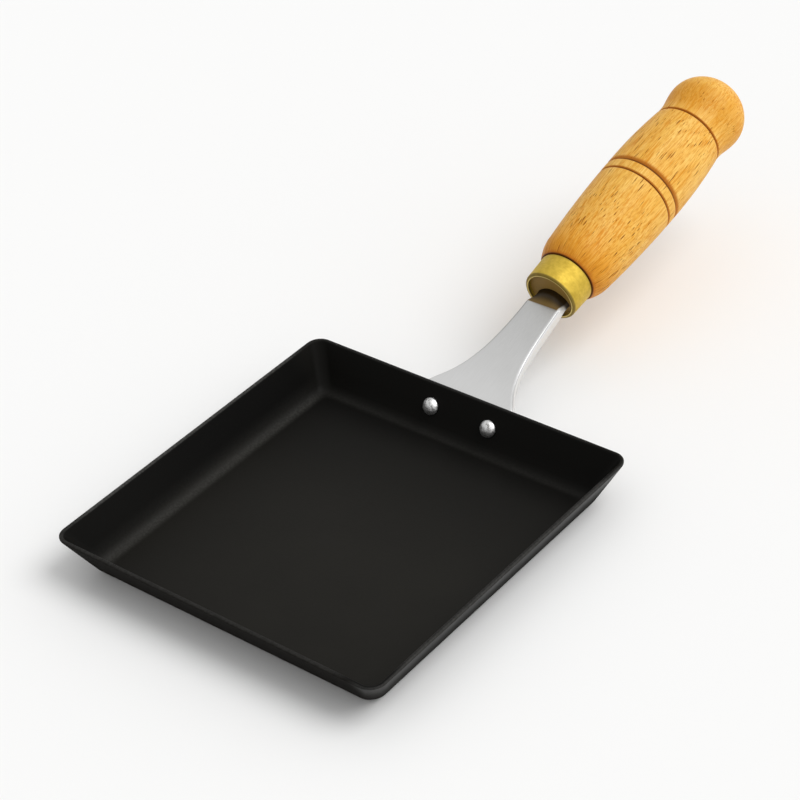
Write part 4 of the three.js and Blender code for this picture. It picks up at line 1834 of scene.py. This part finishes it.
@dataclass
class Studio:
    """A plain pale floor, soft light from behind the handle's right and the photograph's camera."""

    floor_size: float = 40.0
    floor_tone: Colour = (0.86, 0.86, 0.855)
    floor_rough: float = 0.9
    sky: float = 0.75
    sky_tone: Colour = (1.0, 1.0, 1.0)
    sky_tilt: float = 0.45
    sky_from: Place = (0.70, 0.68, 0.12)
    key: float = 1.34
    key_angle: float = math.radians(40)
    key_from: Place = (0.50, 0.30, 0.81)
    azimuth: float = math.radians(41.781)
    elevation: float = math.radians(35.875)
    roll: float = math.radians(-5.844)
    focal_pixels: float = 2449.8
    aim: Place = (mm(-35.829), mm(76.518), 0.0)
    distance: float = mm(964.94)
    nearest: float = mm(10)

    def build(self) -> None:
        """Makes the floor, the light and the camera."""
        self.lay_floor()
        self.hang_sky()
        self.hang_key()
        self.place_camera()
        view = bpy.context.scene.view_settings
        view.view_transform = "Standard"
        view.look = "None"

    def lay_floor(self) -> None:
        """Lays the floor at the level of the pan's underside."""
        shape = bmesh.new()
        bmesh.ops.create_grid(shape, x_segments=1, y_segments=1, size=self.floor_size / 2)
        dress = Dressing("studio_floor")
        dress.surface(base_color=self.floor_tone, roughness=self.floor_rough, specular_ior_level=0.0)
        floor = from_bmesh("studio_floor", shape, dress.material)

    def hang_sky(self) -> None:
        """Lights the scene all round, with a sky that is brighter on one side."""
        world = bpy.data.worlds.new("studio_sky")
        world.use_nodes = True
        bpy.context.scene.world = world
        graph = Graph(world.node_tree)
        way = graph.field("ShaderNodeTexCoord", output="Generated")
        bright = tuple(Vector(self.sky_from).normalized())
        facing = graph.field("ShaderNodeVectorMath", {0: way, 1: bright}, "Value", operation="DOT_PRODUCT")
        strength = self.sky * (1.0 + self.sky_tilt * facing).at_least(0.0)
        background = world.node_tree.nodes["Background"]
        plug(world.node_tree, background.inputs["Strength"], strength)
        plug(world.node_tree, background.inputs["Color"], opaque(self.sky_tone))

    def hang_key(self) -> None:
        """Adds a broad soft key light."""
        sun = bpy.data.lights.new("soft_key", "SUN")
        sun.energy = self.key
        sun.angle = self.key_angle
        lamp = linked("soft_key", sun)
        lamp.rotation_mode = "QUATERNION"
        lamp.rotation_quaternion = Vector(self.key_from).to_track_quat("Z", "Y")

    def place_camera(self) -> None:
        """Sets the camera at the photograph's angle, with its slight roll."""
        a, e, r = self.azimuth, self.elevation, self.roll
        back = Vector((math.sin(a) * math.cos(e), -math.cos(a) * math.cos(e), math.sin(e)))
        right = Vector((math.cos(a), math.sin(a), 0.0))
        up = back.cross(right)
        axes = (math.cos(r) * right + math.sin(r) * up, math.cos(r) * up - math.sin(r) * right, back)
        lens = bpy.data.cameras.new("photo_camera")
        lens.sensor_width = SENSOR_WIDTH
        lens.lens = self.focal_pixels * SENSOR_WIDTH / IMAGE_PIXELS
        lens.clip_start = self.nearest
        camera = linked("photo_camera", lens)
        place = Matrix.Translation(Vector(self.aim) + self.distance * back)
        camera.matrix_world = place @ Matrix(axes).transposed().to_4x4()
        bpy.context.scene.camera = camera


def main() -> None:
    """Builds every piece in order, then the studio."""
    logging.basicConfig(level=logging.INFO, format="%(message)s")
    log.info("%d packed nodes in the frame", len(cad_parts))
    pan = Pan()
    bracket = Bracket(pan)
    rivets = RivetPair(pan, bracket)
    handle = Handle(bracket)
    install(pan.build(BlackCoat().material(pan), rivets.holes()), Slot.BLACK_COAT, "pan_body")
    install(bracket.build(StrapSteel().material(bracket), rivets.holes()), Slot.STRAP_STEEL, "handle_bracket")
    install(rivets.build(RivetSteel().material()), Slot.RIVET_STEEL, "rivet_left", "rivet_right")
    install(handle.build_ferrule(Brass().material(handle)), Slot.BRASS, "ferrule")
    install(handle.build_grip(TurnedWood().material(handle)), Slot.TURNED_WOOD, "grip")
    Studio().build()


if __name__ == "__main__":
    main()
